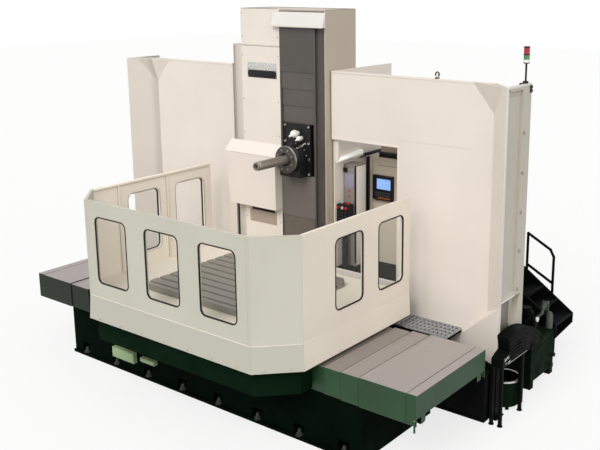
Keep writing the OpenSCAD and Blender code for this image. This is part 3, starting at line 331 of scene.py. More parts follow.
finishes = {
    "cream": sheet_paint("cream_sheet_paint", srgb(235, 226, 216)),
    "hood": sheet_paint("white_hood_paint", srgb(224, 222, 217)),
    # The left wall's paint is a darker copy of the cream, with painted shade on its return and a darker band
    # of painted shade beside the fold
    "left_wall": sheet_paint("left_wall_shaded_paint", srgb(233, 224, 214), shade_ranges=(
        (WALL_FOLD, WALL_FOLD + 0.02, 1, 0), (WALL_FOLD - 0.09, WALL_FOLD - 0.03, 0.48, 0.95))),
    # The wing's paint is a darker copy of the cream, with painted shade that grows towards its left end
    "wing": sheet_paint("wing_shaded_paint", srgb(228, 219, 209), shade_ranges=((*WING, 0.95, 0.1),)),
    # A brown paint for painted shade: the gap beside the column's wing and the inset panel under the changer
    "brown": sheet_paint("shade_brown_panel_paint", srgb(176, 160, 146)),
    # The guard's panels have one paint in lit and shaded copies: the front is darker, with painted shade
    # below the bend, and the left panel is lighter, a painted light on its inner face
    "guard": sheet_paint("guard_front_shaded_paint", srgb(199, 197, 183), shaded_below=GUARD_BEND),
    "guard_side": sheet_paint("guard_side_paint", srgb(238, 229, 215)),
    "guard_left": sheet_paint("guard_left_lit_paint", srgb(250, 241, 227)),
    # A darker copy of the cream paint: painted shade on the column's casing, whose right side stands in shade
    "casing": sheet_paint("column_casing_shaded_paint", srgb(188, 176, 160)),
    "deck": sheet_paint("deck_paint", srgb(236, 229, 213), gloss=0.42),
    "end": sheet_paint("end_sheet_paint", srgb(194, 188, 174)),
    "bed": cast_paint("dark_green_enamel", srgb(6, 15, 9), srgb(20, 34, 24), gloss=0.65, shine=0.01),
    "saddle": cast_paint("saddle_enamel", srgb(12, 30, 17), srgb(24, 40, 30), gloss=0.65, shine=0.015),
    "cover": way_cover("way_cover_sheet", srgb(172, 164, 160), COVER_GREEN),
    # Shaded copies of the cover sheet: the covers next to the guard, and those on the left, are painted
    # darker as painted shade
    "cover_middle": way_cover("middle_cover_shaded_sheet", srgb(162, 154, 150), COVER_GREEN),
    "cover_inner": way_cover("inner_cover_shaded_sheet", srgb(148, 140, 135), COVER_GREEN),
    "cover_left": way_cover("left_cover_sheet", srgb(166, 159, 156), srgb(18, 30, 15)),
    "anchor": ground_steel("anchor_bolt_steel", srgb(60, 66, 60), gloss=0.45, metal=0.3),
    "bolt": ground_steel("zinc_fastener", srgb(168, 166, 158)),
    "rail": ground_steel("ground_guideway", srgb(165, 166, 168), (0.1, 3, 1)),
    "pale": sheet_paint("pale_green_paint", srgb(156, 178, 134), gloss=0.4),
    "dark": cast_paint("black_green_paint", srgb(9, 12, 10), srgb(34, 38, 34), gloss=0.55, shine=0.04),
    "grating": ground_steel("galvanised_bar", srgb(184, 184, 184), gloss=0.45, metal=0.2),
    "black": moulded("black_moulding", srgb(20, 21, 24), shine=0.25),
    "screen": screen_glow("display_glow", srgb(62, 112, 190), srgb(186, 214, 244), 22),
    "operator": sheet_paint("operator_cabinet_paint", srgb(202, 192, 175)),
    "cabinet": sheet_paint("grey_cabinet_paint", srgb(136, 128, 122)),
    "lilac": sheet_paint("lilac_panel_paint", srgb(152, 147, 166)),
    "key": moulded("dark_key_moulding", srgb(58, 60, 64), gloss=0.4),
    "white": moulded("white_moulding", srgb(244, 243, 238), gloss=0.25),
    "lamp": lens("lamp_tube_glass", srgb(246, 246, 242), glow=0.3, rib_scale=4),
    "red": moulded("red_button_moulding", srgb(190, 36, 40), gloss=0.25),
    "grey": moulded("grey_button_moulding", srgb(176, 180, 178), gloss=0.3),
    "green_lens": lens("green_lamp_lens", srgb(72, 138, 88)),
    "red_lens": lens("red_lamp_lens", srgb(166, 36, 48)),
    "amber": lens("amber_key_lens", srgb(128, 66, 30), glow=0.3, rib_scale=8),
    "tank": cast_paint("tank_enamel", srgb(12, 26, 16), srgb(30, 46, 36), gloss=0.6, shine=0.025),
    "rubber": moulded("black_rubber", srgb(32, 30, 28), gloss=0.6, grain=500, shine=0.2),
    "pane": clear_pane("clear_pane_glass", srgb(228, 232, 226)),
    "table": ground_steel("planed_table_iron", srgb(140, 136, 127), (0.15, 4, 1), gloss=0.42, metal=0.3),
    "casting": cast_paint("grey_casting_paint", srgb(84, 86, 82), srgb(120, 122, 118)),
    "slot": slot_sheet("slot_cover_sheet", SLOT_GREY),
    # The slot's frame is a darker copy of its sheet, a painted shade; the lower covers are a lighter copy, a
    # painted light
    "slot_edge": slot_sheet("slot_frame_shaded_sheet", shaded(SLOT_GREY, 0.84)),
    "slot_low": slot_sheet("lower_slot_lit_sheet", srgb(116, 108, 100)),
    "head": head_casting("head_enamel_and_sheet", HEAD_BLACK, SLOT_GREY, PLATE_LOW, PLATE_HIGH),
    "enamel": cast_paint("black_head_enamel", HEAD_BLACK, srgb(80, 80, 80), gloss=0.36, shine=0.3),
    "sleeve": ground_steel("turned_sleeve_steel", srgb(86, 82, 78), (1, 5, 1), metal=0.5),
    "spindle": ground_steel("nitrided_spindle_steel", srgb(154, 148, 139), (1, 6, 1), gloss=0.28, metal=0.55),
    "chrome": ground_steel("bright_fitting", srgb(206, 206, 202), gloss=0.22, metal=0.7),
}

# The solids that have each finish
SOLID_FINISH = {
    "left_wall": "left_wall",
    "operator": "control_cabinet",
    "cream": "right_wall column_front_covers tool_changer_cover work_lamp",
    "hood": "column_hood",
    "guard": "guard_front_panel guard_corners",
    "guard_side": "guard_right_panel",
    "guard_left": "guard_left_panel",
    "casing": "column_casing",
    "deck": "guard_deck",
    "end": "end_panels",
    "bed": "x_bed z_bed",
    "saddle": "saddle",
    "cover": "right_cover_1",
    "cover_middle": "right_cover_2",
    "cover_inner": "right_cover_3 right_cover_4",
    "cover_left": " ".join(f"left_cover_{i}" for i in range(1, 5)),
    "anchor": "anchor_bolts",
    "rail": "guideways",
    "pale": "bed_terminal_boxes",
    "dark": "cover_rails wall_stands platform stairs handrail coolant_pump chip_chute",
    "grating": "foot_grating",
    "black": "display_unit operation_box signal_pole",
    "screen": "display_screen",
    "cabinet": "wiring_cabinet",
    "white": "spray_nozzle",
    "red": "stop_button",
    "grey": "start_button",
    "green_lens": "green_lamp",
    "red_lens": "red_lamp",
    "tank": "coolant_tank chip_drum",
    "rubber": "window_gaskets",
    "pane": "window_panes",
    "table": "rotary_table",
    "casting": "column_casting",
    "slot": "upper_cover_2 upper_cover_3",
    "slot_edge": "slot_frame",
    "slot_low": "lower_cover_2 lower_cover_3",
    "head": "headstock",
    "sleeve": "milling_sleeve",
    "spindle": "boring_spindle",
}


def paint_solids():
    """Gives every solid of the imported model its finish."""
    for finish, names in SOLID_FINISH.items():
        for name in names.split():
            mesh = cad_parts[name].data
            mesh.materials.clear()
            mesh.materials.append(finishes[finish])


# Edges above the first angle are bevelled, and those above the second are shaded as sharp
BEVEL_ANGLE = radians(40)
SHARP_ANGLE = radians(35)

FRONT = (0, -1, 0)
REAR = (0, 1, 0)
UP = (0, 0, 1)


def upright_to(axis):
    """The turn that brings a shape's Z axis into a direction."""
    return axis.to_track_quat("Z", "Y").to_matrix().to_4x4()


class Piece:
    """A fitting in the making: the shapes that it is built from, and the body that it rides on.

    Each shape is made in a bmesh of its own and placed in the frame `at`, the machine's own unless it is set.
    Every shape gives the piece back, so that a short piece can be written in one statement.
    All pieces that were begun are finished at the end, in the same order.
    """

    begun = []

    def __init__(self, name, finish, body="base", at=None):
        self.begun.append(self)
        self.name = name
        self.finish = finish
        self.body = body
        self.at = at or Matrix.Identity(4)
        self.whole = bmesh.new()
        self.bm = None

    def begin(self):
        """Starts a shape."""
        self.bm = bmesh.new()

    def settle(self):
        """Puts the shape made since begin() in its place, and gives the piece back."""
        bmesh.ops.recalc_face_normals(self.bm, faces=self.bm.faces)
        bmesh.ops.transform(self.bm, matrix=self.at, verts=self.bm.verts)
        shape = bpy.data.meshes.new("shape")
        self.bm.to_mesh(shape)
        self.bm.free()
        self.whole.from_mesh(shape)
        bpy.data.meshes.remove(shape)
        return self

    def soften(self, width):
        """Bevels the sharp edges of the shape."""
        sharp = [e for e in self.bm.edges
                 if len(e.link_faces) == 2 and e.calc_face_angle(0) > BEVEL_ANGLE]
        if sharp and width > 0:
            bmesh.ops.bevel(self.bm, geom=sharp, offset=width, affect="EDGES", segments=2,
                            profile=0.5, material=-1)

    def block(self, low, high, bevel):
        """A box between two corners with rounded edges."""
        self.begin()
        low, high = Vector(low), Vector(high)
        made = bmesh.ops.create_cube(self.bm, size=1)["verts"]
        size = high - low
        bmesh.ops.scale(self.bm, vec=size, verts=made)
        bmesh.ops.translate(self.bm, vec=(low + high) / 2, verts=made)
        self.soften(min(bevel, min(size) * 0.4))
        return self.settle()

    def blocks(self, bevel, *corners):
        """Boxes with the same rounding, each between two corners."""
        for low, high in corners:
            self.block(low, high, bevel)
        return self

    def bar(self, start, end, radius, far_radius=None, sides=24, bevel=0.0):
        """A round bar or cone between two points."""
        self.begin()
        start, end = Vector(start), Vector(end)
        axis = end - start
        place = Matrix.Translation((start + end) / 2) @ upright_to(axis)
        bmesh.ops.create_cone(
            self.bm, cap_ends=True, segments=sides, radius1=radius,
            radius2=radius if far_radius is None else far_radius, depth=axis.length, matrix=place)
        self.soften(bevel)
        return self.settle()

    def ball(self, centre, radius, squeeze=(1, 1, 1)):
        """A ball, squeezed along X, Y and Z."""
        self.begin()
        made = bmesh.ops.create_uvsphere(self.bm, u_segments=20, v_segments=12, radius=radius)["verts"]
        bmesh.ops.scale(self.bm, vec=squeeze, verts=made)
        bmesh.ops.translate(self.bm, vec=centre, verts=made)
        return self.settle()

    def turned(self, outline, centre, axis, sides=48):
        """A turned shape: an outline of (radius, height) spun once round an axis through the centre."""
        self.begin()
        first = [self.bm.verts.new((r, 0, h)) for r, h in outline]
        edges = [self.bm.edges.new(pair) for pair in zip(first, first[1:])]
        bmesh.ops.spin(self.bm, geom=first + edges, cent=(0, 0, 0), axis=(0, 0, 1), angle=2 * pi,
                       steps=sides, use_merge=True)
        bmesh.ops.remove_doubles(self.bm, verts=self.bm.verts, dist=1e-5)
        place = Matrix.Translation(centre) @ upright_to(Vector(axis))
        bmesh.ops.transform(self.bm, matrix=place, verts=self.bm.verts)
        return self.settle()

    def hoop(self, centre, axis, radius, thickness):
        """A round ring of round wire."""
        steps = 10
        section = [(radius + thickness * cos(2 * pi * k / steps), thickness * sin(2 * pi * k / steps))
                   for k in range(steps + 1)]
        return self.turned(section, centre, axis, 32)

    def arch(self, x0, x1, radii, centre, half_angle, turn=0.0):
        """A curved bar across Y, bent round an axis along X. Its middle is upright or turned to the rear."""
        self.begin()
        y, z = centre
        low, high = radii
        s, c = sin(turn + half_angle), cos(turn + half_angle)
        ring = [self.bm.verts.new(p) for p in (
            (x0, y + low * s, z + low * c), (x1, y + low * s, z + low * c),
            (x1, y + high * s, z + high * c), (x0, y + high * s, z + high * c))]
        face = self.bm.faces.new(ring)
        bmesh.ops.spin(self.bm, geom=[face], cent=(0, y, z), axis=(1, 0, 0), angle=2 * half_angle,
                       steps=20)
        return self.settle()

    def window_frame(self, middle, size, radius, width, y0, y1):
        """A flat frame with rounded corners round an opening in a wall along X."""
        self.begin()
        (x, z), (w, h) = middle, size
        ring = []
        for quarter, (sx, sz) in enumerate(((1, 1), (-1, 1), (-1, -1), (1, -1))):
            cx, cz = x + sx * (w / 2 - radius), z + sz * (h / 2 - radius)
            for k in range(7):
                a = pi / 2 * (quarter + k / 6)
                ring.append(self.bm.verts.new((cx + radius * cos(a), y0, cz + radius * sin(a))))
        face = self.bm.faces.new(ring)
        frame_faces = bmesh.ops.inset_region(self.bm, faces=[face], thickness=width, use_boundary=True,
                                             use_even_offset=True)["faces"]
        bmesh.ops.delete(self.bm, geom=[face], context="FACES")
        raised = bmesh.ops.extrude_face_region(self.bm, geom=frame_faces)["geom"]
        moved = [v for v in raised if isinstance(v, bmesh.types.BMVert)]
        bmesh.ops.translate(self.bm, vec=(0, y1 - y0, 0), verts=moved)
        return self.settle()

    def hex_bolt(self, seat, axis, size):
        """A hexagon head on a washer; size is the width across its corners."""
        seat, axis = Vector(seat), Vector(axis).normalized()
        self.bar(seat, seat + axis * size * 0.1, size * 0.72, sides=20)
        return self.bar(seat + axis * size * 0.1, seat + axis * size * 0.5, size / 2, sides=6,
                        bevel=size * 0.05)

    def cap_screw(self, seat, axis, radius):
        """A round cap screw with a socket in its head."""
        self.begin()
        seat, axis = Vector(seat), Vector(axis).normalized()
        place = Matrix.Translation(seat + axis * radius / 2) @ upright_to(axis)
        bmesh.ops.create_cone(self.bm, cap_ends=True, segments=18, radius1=radius, radius2=radius,
                              depth=radius, matrix=place)
        face = max(self.bm.faces, key=lambda f: f.calc_center_median().dot(axis))
        bmesh.ops.inset_region(self.bm, faces=[face], thickness=radius * 0.45, use_even_offset=True)
        bmesh.ops.translate(self.bm, vec=-axis * radius * 0.6, verts=face.verts)
        return self.settle()

    def pipe(self, points, radius):
        """A bent pipe along a path: straight lengths with a ball at each bend."""
        for start, end in zip(points, points[1:]):
            self.bar(start, end, radius, sides=14)
        for bend in points[1:-1]:
            self.ball(bend, radius)
        return self

    def done(self):
        """Makes the object, gives it its finish and sets it on its body."""
        mesh = bpy.data.meshes.new(self.name)
        self.whole.to_mesh(mesh)
        self.whole.free()
        mesh.shade_smooth()
        mesh.set_sharp_from_angle(angle=SHARP_ANGLE)
        mesh.materials.append(finishes[self.finish])
        piece = bpy.data.objects.new(self.name, mesh)
        scene.collection.objects.link(piece)
        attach(piece, self.body)


def plate(name, finish, low, high, bevel, body="base", at=None):
    """A piece that is one block."""
    Piece(name, finish, body, at).block(low, high, bevel)


# Telescopic covers: the step from one to the next, half the width of the outermost and the height of its hem
COVER_STEP = 0.012
COVER_HALF_W = 0.761
COVER_HEM = 0.712
# The body and the sheet of each cover that slides over another
COVER_BODY = {1: "base", 2: "{}_cover_outer", 3: "{}_cover_inner"}
COVER_SHEET = {1: "cover", 2: "cover_middle", 3: "cover_inner"}
WIPER_T = 0.005
WIPER_DROP = 0.0108
STRIP_W = 0.05


def cover_wipers():
    """Rubber lips under a clamping strip on the inner edge of every cover that slides over another."""
    for side, sign in (("right", 1), ("left", -1)):
        for i in (1, 2, 3):
            low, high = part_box(f"{side}_cover_{i}")
            inner = low.x if sign > 0 else high.x
            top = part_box(f"{side}_cover_2")[1].z + COVER_STEP * (2 - i)
            half = COVER_HALF_W - COVER_STEP * (i - 1)
            body = COVER_BODY[i].format(side)
            x0, x1 = sorted((inner, inner - sign * WIPER_T))
            lips = Piece(f"{side}_wiper_{i}", "rubber" if sign > 0 else "cover_left", body)
            lips.block((x0, -half, top - WIPER_DROP), (x1, half, top + 0.001), 0.001)
            for edge in (-1, 1):
                y0, y1 = sorted((edge * (half - WIPER_DROP), edge * half))
                lips.block((x0, y0, COVER_HEM), (x1, y1, top - WIPER_DROP), 0.001)
            x0, x1 = sorted((inner + sign * 0.004, inner + sign * STRIP_W))
            plate(f"{side}_wiper_strip_{i}", COVER_SHEET[i] if sign > 0 else "cover_left",
                  (x0, -half + 0.02, top - 0.001), (x1, half - 0.02, top + 0.0008), 0.0004, body)
            screws = Piece(f"{side}_wiper_screws_{i}", "bolt", body)
            x = (x0 + x1) / 2
            for k in range(9):
                y = (k / 8 - 0.5) * 2 * (half - 0.07)
                screws.bar((x, y, top), (x, y, top + 0.0011), 0.009, 0.008, 16)


def cover_end_joint():
    """Joint between the end sheet and the top of the fixed cover on the right."""
    low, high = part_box("right_cover_1")
    x0, x1, top = 3.279, 3.283, high.z
    Piece("right_cover_end_joint", "rubber").blocks(
        0.0003, ((x0, -0.765, top - 0.0005), (x1, 0.765, top + 0.0008)),
        ((x0, low.y - 0.0008, 0.72), (x1, low.y + 0.0005, top)))


def terminal_lids():
    """Screwed lids on the pale boxes of the table bed."""
    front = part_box("bed_terminal_boxes")[0].y
    lid_t, rim = 0.006, 0.008
    lids = Piece("terminal_lids", "pale")
    screws = Piece("terminal_lid_screws", "bolt")
    for x0, x1, z0, z1 in ((-1.71, -1.25, 0.18, 0.33), (-1.109, -0.819, 0.262, 0.322)):
        lids.block((x0 + rim, front - lid_t, z0 + rim), (x1 - rim, front, z1 - rim), 0.003)
        for x in (x0 + 0.022, x1 - 0.022):
            for z in (z0 + 0.02, z1 - 0.02):
                screws.cap_screw((x, front - lid_t, z), FRONT, 0.006)


# Front face of the rear walls, and the lifting eye's place on the right one
WALL_Y = 1.45
LIFTING_EYE = (2.225, 1.47)


def wall_fittings():
    """Bolts, posts and ledge of the wall ends, folded upper edges, the doorway's trim and the lifting eye."""
    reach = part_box("end_panels")[1].x
    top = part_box("left_wall")[1].z
    bolts = Piece("end_flange_bolts", "bolt")
    for sign in (-1, 1):
        for k in range(5):
            bolts.hex_bolt((sign * reach, 1.6, 1.598 + 0.501 * k), (sign, 0, 0), 0.036)
    folds = Piece("wall_upper_folds", "cream")
    for x0, x1 in ((-3.05, -1.366), (0.534, 3.05)):
        folds.block((x0, WALL_Y - 0.003, top - 0.03), (x1, WALL_Y + 0.003, top + 0.003), 0.0015)
    y0, y1 = WALL_Y - 0.005, WALL_Y + 0.002
    Piece("doorway_trim", "cream").blocks(
        0.002, ((0.53, y0, 3.24), (1.66, y1, 3.262)), ((1.642, y0, 1.35), (1.664, y1, 3.242)))
    posts = Piece("end_front_posts", "hood")
    for sign in (-1, 1):
        x0, x1 = sorted((sign * (reach - 0.004), sign * (reach + 0.006)))
        posts.blocks(0.004, ((x0, 1.1185, 1.53), (x1, 1.152, top)),
                     ((x0, 1.152, top - 0.03), (x1, 1.765, top)))
    plate("end_ledge_edges", "hood", (reach - 0.006, 1.15, 1.518), (reach + 0.004, 1.536, 1.538), 0.003)
    # Painted shade: a dark sheet on the deeper lower sheet of the right wall end.
    plate("end_deep_shade_sheet", "cabinet", (3.303, 1.215, 1.002), (3.308, 1.54, 1.508), 0.001)
    # Painted shadow: dark strips under the top frames of the wall ends.
    shadow_strips = Piece("end_upper_shadow_strips", "casing")
    for sign in (-1, 1):
        x0, x1 = sorted((sign * (reach - 0.034), sign * (reach - 0.012)))
        shadow_strips.block((x0, 1.17, top - 0.115), (x1, 1.535, top - 0.085), 0.003)
    bolts = Piece("end_corner_bolts", "anchor")
    for z in (top - 0.046, top - 0.094):
        bolts.hex_bolt((reach, 1.745, z), (1, 0, 0), 0.042)
    collar = [(0, 0), (0.03, 0), (0.03, 0.012), (0.02, 0.02), (0, 0.02)]
    Piece("lifting_eye", "anchor").turned(collar, (*LIFTING_EYE, top), UP, 24).hoop(
        (*LIFTING_EYE, top + 0.055), REAR, 0.028, 0.009)


# The guard: the heights of its upper and its lower edge, and the thickness of its panels
GUARD_TOP = 2.68
GUARD_LOW = 1.084
GUARD_T = 0.04
# Its panels: the place of their outer left corner, their turn and their length
GUARD_PANELS = {
    "front": ((-1.23, -1.434), 0, 2.866),
    "right_corner": ((1.636, -1.434), 45, 0.5897),
    "right": ((2.053, -1.017), 90, 2.167),
    "left_corner": ((-1.647, -1.017), -45, 0.5897),
    "left": ((-1.647, 1.15), -90, 2.167),
}
# Its windows: the height of their middle, their own height and the radius of their corners
WINDOW_MID = 2.052
WINDOW_H = 0.892
WINDOW_R = 0.085
# Each panel's outer joints, inner stiffeners, middles of its windows and their width, along the panel
GUARD_BAYS = (
    ("front", (0.038, 2.828), (0.965, 1.9), (0.4958, 1.433, 2.3702), 0.6),
    ("right", (), (0.43, 1.3), (0.864, 1.733), 0.556),
    ("left", (), (0.868, 1.737), (0.434, 1.303), 0.556),
)
STIFFENER_LOW = 1.42
STIFFENER_SEAM_TOP = 2.64


def guard_frame(panel):
    """A panel's frame, with X along it and Y into it from its outer left corner, and its length."""
    place, turn, length = GUARD_PANELS[panel]
    return Matrix.Translation((*place, 0)) @ Matrix.Rotation(radians(turn), 4, "Z"), length


def guard_trim():
    """Folded edges, bends with a painted highlight, screws, seals with painted shadow, joint lines, inner
    stiffeners and window beads of the guard.
    """
    for panel, finish in (("front", "guard"), ("right_corner", "guard"), ("left_corner", "guard"),
                          ("right", "guard_side"), ("left", "guard_left")):
        at, length = guard_frame(panel)
        x0, x1 = 0.012, length - 0.012
        plate(f"guard_{panel}_fold", finish,
              (x0, 0.001, GUARD_TOP - 0.001), (x1, GUARD_T - 0.001, GUARD_TOP + 0.004), 0.002, "saddle", at)
        # The bend strips are in the side paint: on the front and the corners, where the paint is darker, they
        # are a painted highlight along the bend.
        plate(f"guard_{panel}_bend", "guard_side",
              (x0, -0.003, GUARD_BEND - 0.006), (x1, 0.001, GUARD_BEND + 0.004), 0.002, "saddle", at)
        screws = Piece(f"guard_{panel}_screws", finish, "saddle", at)
        count = max(2, round(length / 0.42))
        for k in range(count):
            screws.cap_screw(((k + 0.5) * length / count, -0.0205, GUARD_LOW + 0.035), FRONT, 0.009)
    # Dark rubber seals under the side panels, which are also a painted shadow in the gap above the covers.
    for panel in ("right", "left"):
        at, length = guard_frame(panel)
        plate(f"guard_{panel}_seal", "rubber",
              (0.02, 0.006, GUARD_LOW - 0.0105), (length - 0.02, 0.014, GUARD_LOW + 0.001), 0.001,
              "saddle", at)
    root = GUARD_T - 0.001
    for panel, outer, inner, windows, width in GUARD_BAYS:
        at, length = guard_frame(panel)
        x0, x1 = 0.03, length - 0.03
        seams = Piece(f"guard_{panel}_seams", "casing", "saddle", at)
        for x in outer:
            seams.block((x - 0.0018, -0.0008, GUARD_BEND + 0.006),
                        (x + 0.0018, 0.001, GUARD_TOP - 0.004), 0.0003)
        for x in inner:
            for mid in (x - 0.024, x + 0.024):
                seams.block((mid - 0.003, root, STIFFENER_LOW),
                            (mid + 0.003, GUARD_T + 0.004, STIFFENER_SEAM_TOP), 0.0005)
        seams.block((x0, root, GUARD_TOP - 0.04), (x1, GUARD_T + 0.002, GUARD_TOP - 0.031), 0.0005)
        ribs = Piece(f"guard_{panel}_stiffeners", "guard_side", "saddle", at)
        for x in inner:
            ribs.block((x - 0.02, root, STIFFENER_LOW), (x + 0.02, GUARD_T + 0.014, GUARD_TOP - 0.032), 0.002)
        ribs.block((x0, root, GUARD_TOP - 0.03), (x1, GUARD_T + 0.018, GUARD_TOP - 0.001), 0.003)
        beads = Piece(f"guard_{panel}_inner_beads", "rubber", "saddle", at)
        for x in windows:
            beads.window_frame((x, WINDOW_MID), (width + 0.02, WINDOW_H + 0.02), WINDOW_R + 0.01, 0.024,
                               root, GUARD_T + 0.005)


# Spindle axis, the faces of the headstock and the places of its screws
AXIS_Z = 2.945
PLATE_Y = 1.33
FLANGE_Y = 1.296
FLANGE_SCREW_R = 0.2
PLATE_SCREW_X = 0.218
PLATE_HALF_W = 0.225
RIM_W = 0.014
RIM_T = 0.006
# The nose's steps: their bore and depth, and the foot and radius of each
STEP_BORE = 0.184
STEP_DEPTH = 0.024
NOSE_STEPS = ((1.262, 0.196), (1.23, 0.1905))
# Each spray jet's middle, the radii of its ball and of its clamp ring, and its reach
SPRAY_JETS = (((0.014, 1.238, 3.29), 0.052, 0.036, 0.05), ((0.08, 1.264, 3.224), 0.036, 0.034, 0.036))


def head_fittings():
    """Screws, rims, nose steps, the oil pipe and the spray jets of the headstock."""
    screws = Piece("head_plate_screws", "bolt", "head")
    for x in (-PLATE_SCREW_X, PLATE_SCREW_X):
        for z in (2.712, 2.93, 3.16, 3.395):
            screws.cap_screw((x, PLATE_Y, z), FRONT, 0.017)
    for k in range(7):
        a = pi * (k + 0.5) / 7
        screws.cap_screw((FLANGE_SCREW_R * cos(a), FLANGE_Y, AXIS_Z + FLANGE_SCREW_R * sin(a)), FRONT, 0.0085)
    rim = Piece("head_plate_rim", "enamel", "head")
    for x in (-PLATE_HALF_W - RIM_W, PLATE_HALF_W):
        rim.block((x, PLATE_Y - RIM_T, PLATE_LOW + 0.003), (x + RIM_W, PLATE_Y, PLATE_HIGH - 0.003), 0.002)
    for z in (3.408, 2.683):
        rim.block((-PLATE_HALF_W, PLATE_Y - RIM_T, z), (PLATE_HALF_W, PLATE_Y, z + RIM_W), 0.002)
    steps = Piece("head_nose_steps", "enamel", "head")
    for y, r in NOSE_STEPS:
        outline = [(STEP_BORE, 0), (r - 0.003, 0), (r, -0.003), (r, -STEP_DEPTH), (STEP_BORE, -STEP_DEPTH)]
        steps.turned(outline, (0, y - STEP_DEPTH, AXIS_Z), FRONT)
    oil = Piece("head_oil_pipe", "chrome", "head")
    a = radians(52)
    x, z = 0.193 * cos(a), AXIS_Z + 0.193 * sin(a)
    inlet = (x + 0.03, PLATE_Y, z + 0.05)
    oil.pipe([inlet, (x + 0.03, 1.29, z + 0.05), (x + 0.006, 1.275, z + 0.014),
              (x + 0.006, 1.165, z + 0.008)], 0.0075)
    oil.bar(inlet, (x + 0.03, 1.314, z + 0.05), 0.016, sides=6)
    oil.bar((x + 0.006, 1.19, z + 0.008), (x + 0.006, 1.17, z + 0.008), 0.013, sides=6)
    jets = Piece("spray_jets", "white", "head")
    rings = Piece("spray_clamp_rings", "bolt", "head")
    for (x, y, z), r, ring_r, reach in SPRAY_JETS:
        tip = (x - 0.3 * reach, y - r * 0.9 - reach * 0.75, z - 0.55 * reach)
        jets.bar((x, y - r * 0.8, z - 0.012), tip, 0.42 * r, 0.24 * r, sides=20, bevel=0.001)
        jets.turned([(0.5 * r, 0.004), (1.02 * r, 0.004), (1.02 * r, -0.012), (0.5 * r, -0.012)],
                    (x, y + 0.35 * r, z), FRONT, 28)
        rings.turned([(0.022, 0), (ring_r, 0), (ring_r, -0.008), (0.022, -0.008)],
                     (x, PLATE_Y - 0.008, z), FRONT, 24)


# The places of the screws and driving keys on the milling sleeve's face
SLEEVE_SCREW_R = 0.142
SLEEVE_KEY_X = 0.15


def spindle_fittings():
    """Rims, face screws and driving keys of the milling sleeve, and the end of the boring spindle."""
    face_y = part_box("milling_sleeve")[0].y
    face = (0, face_y, AXIS_Z)
    Piece("sleeve_bright_rim", "chrome", "sleeve").turned(
        [(0.1905, -0.0105), (0.1934, -0.012), (0.1934, -0.03), (0.1905, -0.0315)], face, FRONT, 64)
    Piece("sleeve_mouth_ring", "sleeve", "sleeve").turned(
        [(0.0965, -0.02), (0.0965, 0.004), (0.112, 0.004), (0.115, 0.001), (0.115, -0.001)],
        face, FRONT, 64)
    screws = Piece("sleeve_face_screws", "bolt", "sleeve")
    for k in range(8):
        a = 2 * pi * k / 8 + pi / 8
        screws.cap_screw((SLEEVE_SCREW_R * cos(a), face_y, AXIS_Z + SLEEVE_SCREW_R * sin(a)), FRONT, 0.011)
    keys = Piece("sleeve_drive_keys", "sleeve", "sleeve")
    for x in (SLEEVE_KEY_X, -SLEEVE_KEY_X):
        keys.block((x - 0.027, face_y - 0.014, AXIS_Z - 0.0125), (x + 0.027, face_y, AXIS_Z + 0.0125), 0.003)
    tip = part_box("boring_spindle")[0].y
    Piece("spindle_nose_ring", "spindle", "spindle").turned(
        [(0.0355, -0.001), (0.0355, 0.003), (0.054, 0.003), (0.057, 0.0005), (0.057, -0.001)],
        (0, tip, AXIS_Z), FRONT).hoop((0, tip + 0.034, AXIS_Z), REAR, 0.0575, 0.0022)
    keys = Piece("spindle_drive_keys", "spindle", "spindle")
    for x0, x1 in ((-0.0535, -0.0375), (0.0375, 0.0535)):
        keys.block((x0, tip - 0.011, AXIS_Z - 0.011), (x1, tip - 0.002, AXIS_Z + 0.011), 0.002)


# The ends of the bare plates on the column's front, and of the painted shadow in the gap beside its wing,
# along X
BARE_PLATE_X = (-0.95, -0.39)
WING_GAP_SHADOW = (-1.331, -1.242)
# The column's top edge: front, right, rear and left
TOP_EDGE = (
    ((-1.068, 1.353), (-0.36, 1.361)),
    ((0.49, 1.361), (0.507, 2.03)),
    ((-1.068, 2.03), (0.507, 2.037)),
    ((-1.068, 1.361), (-1.06, 2.03)),
)


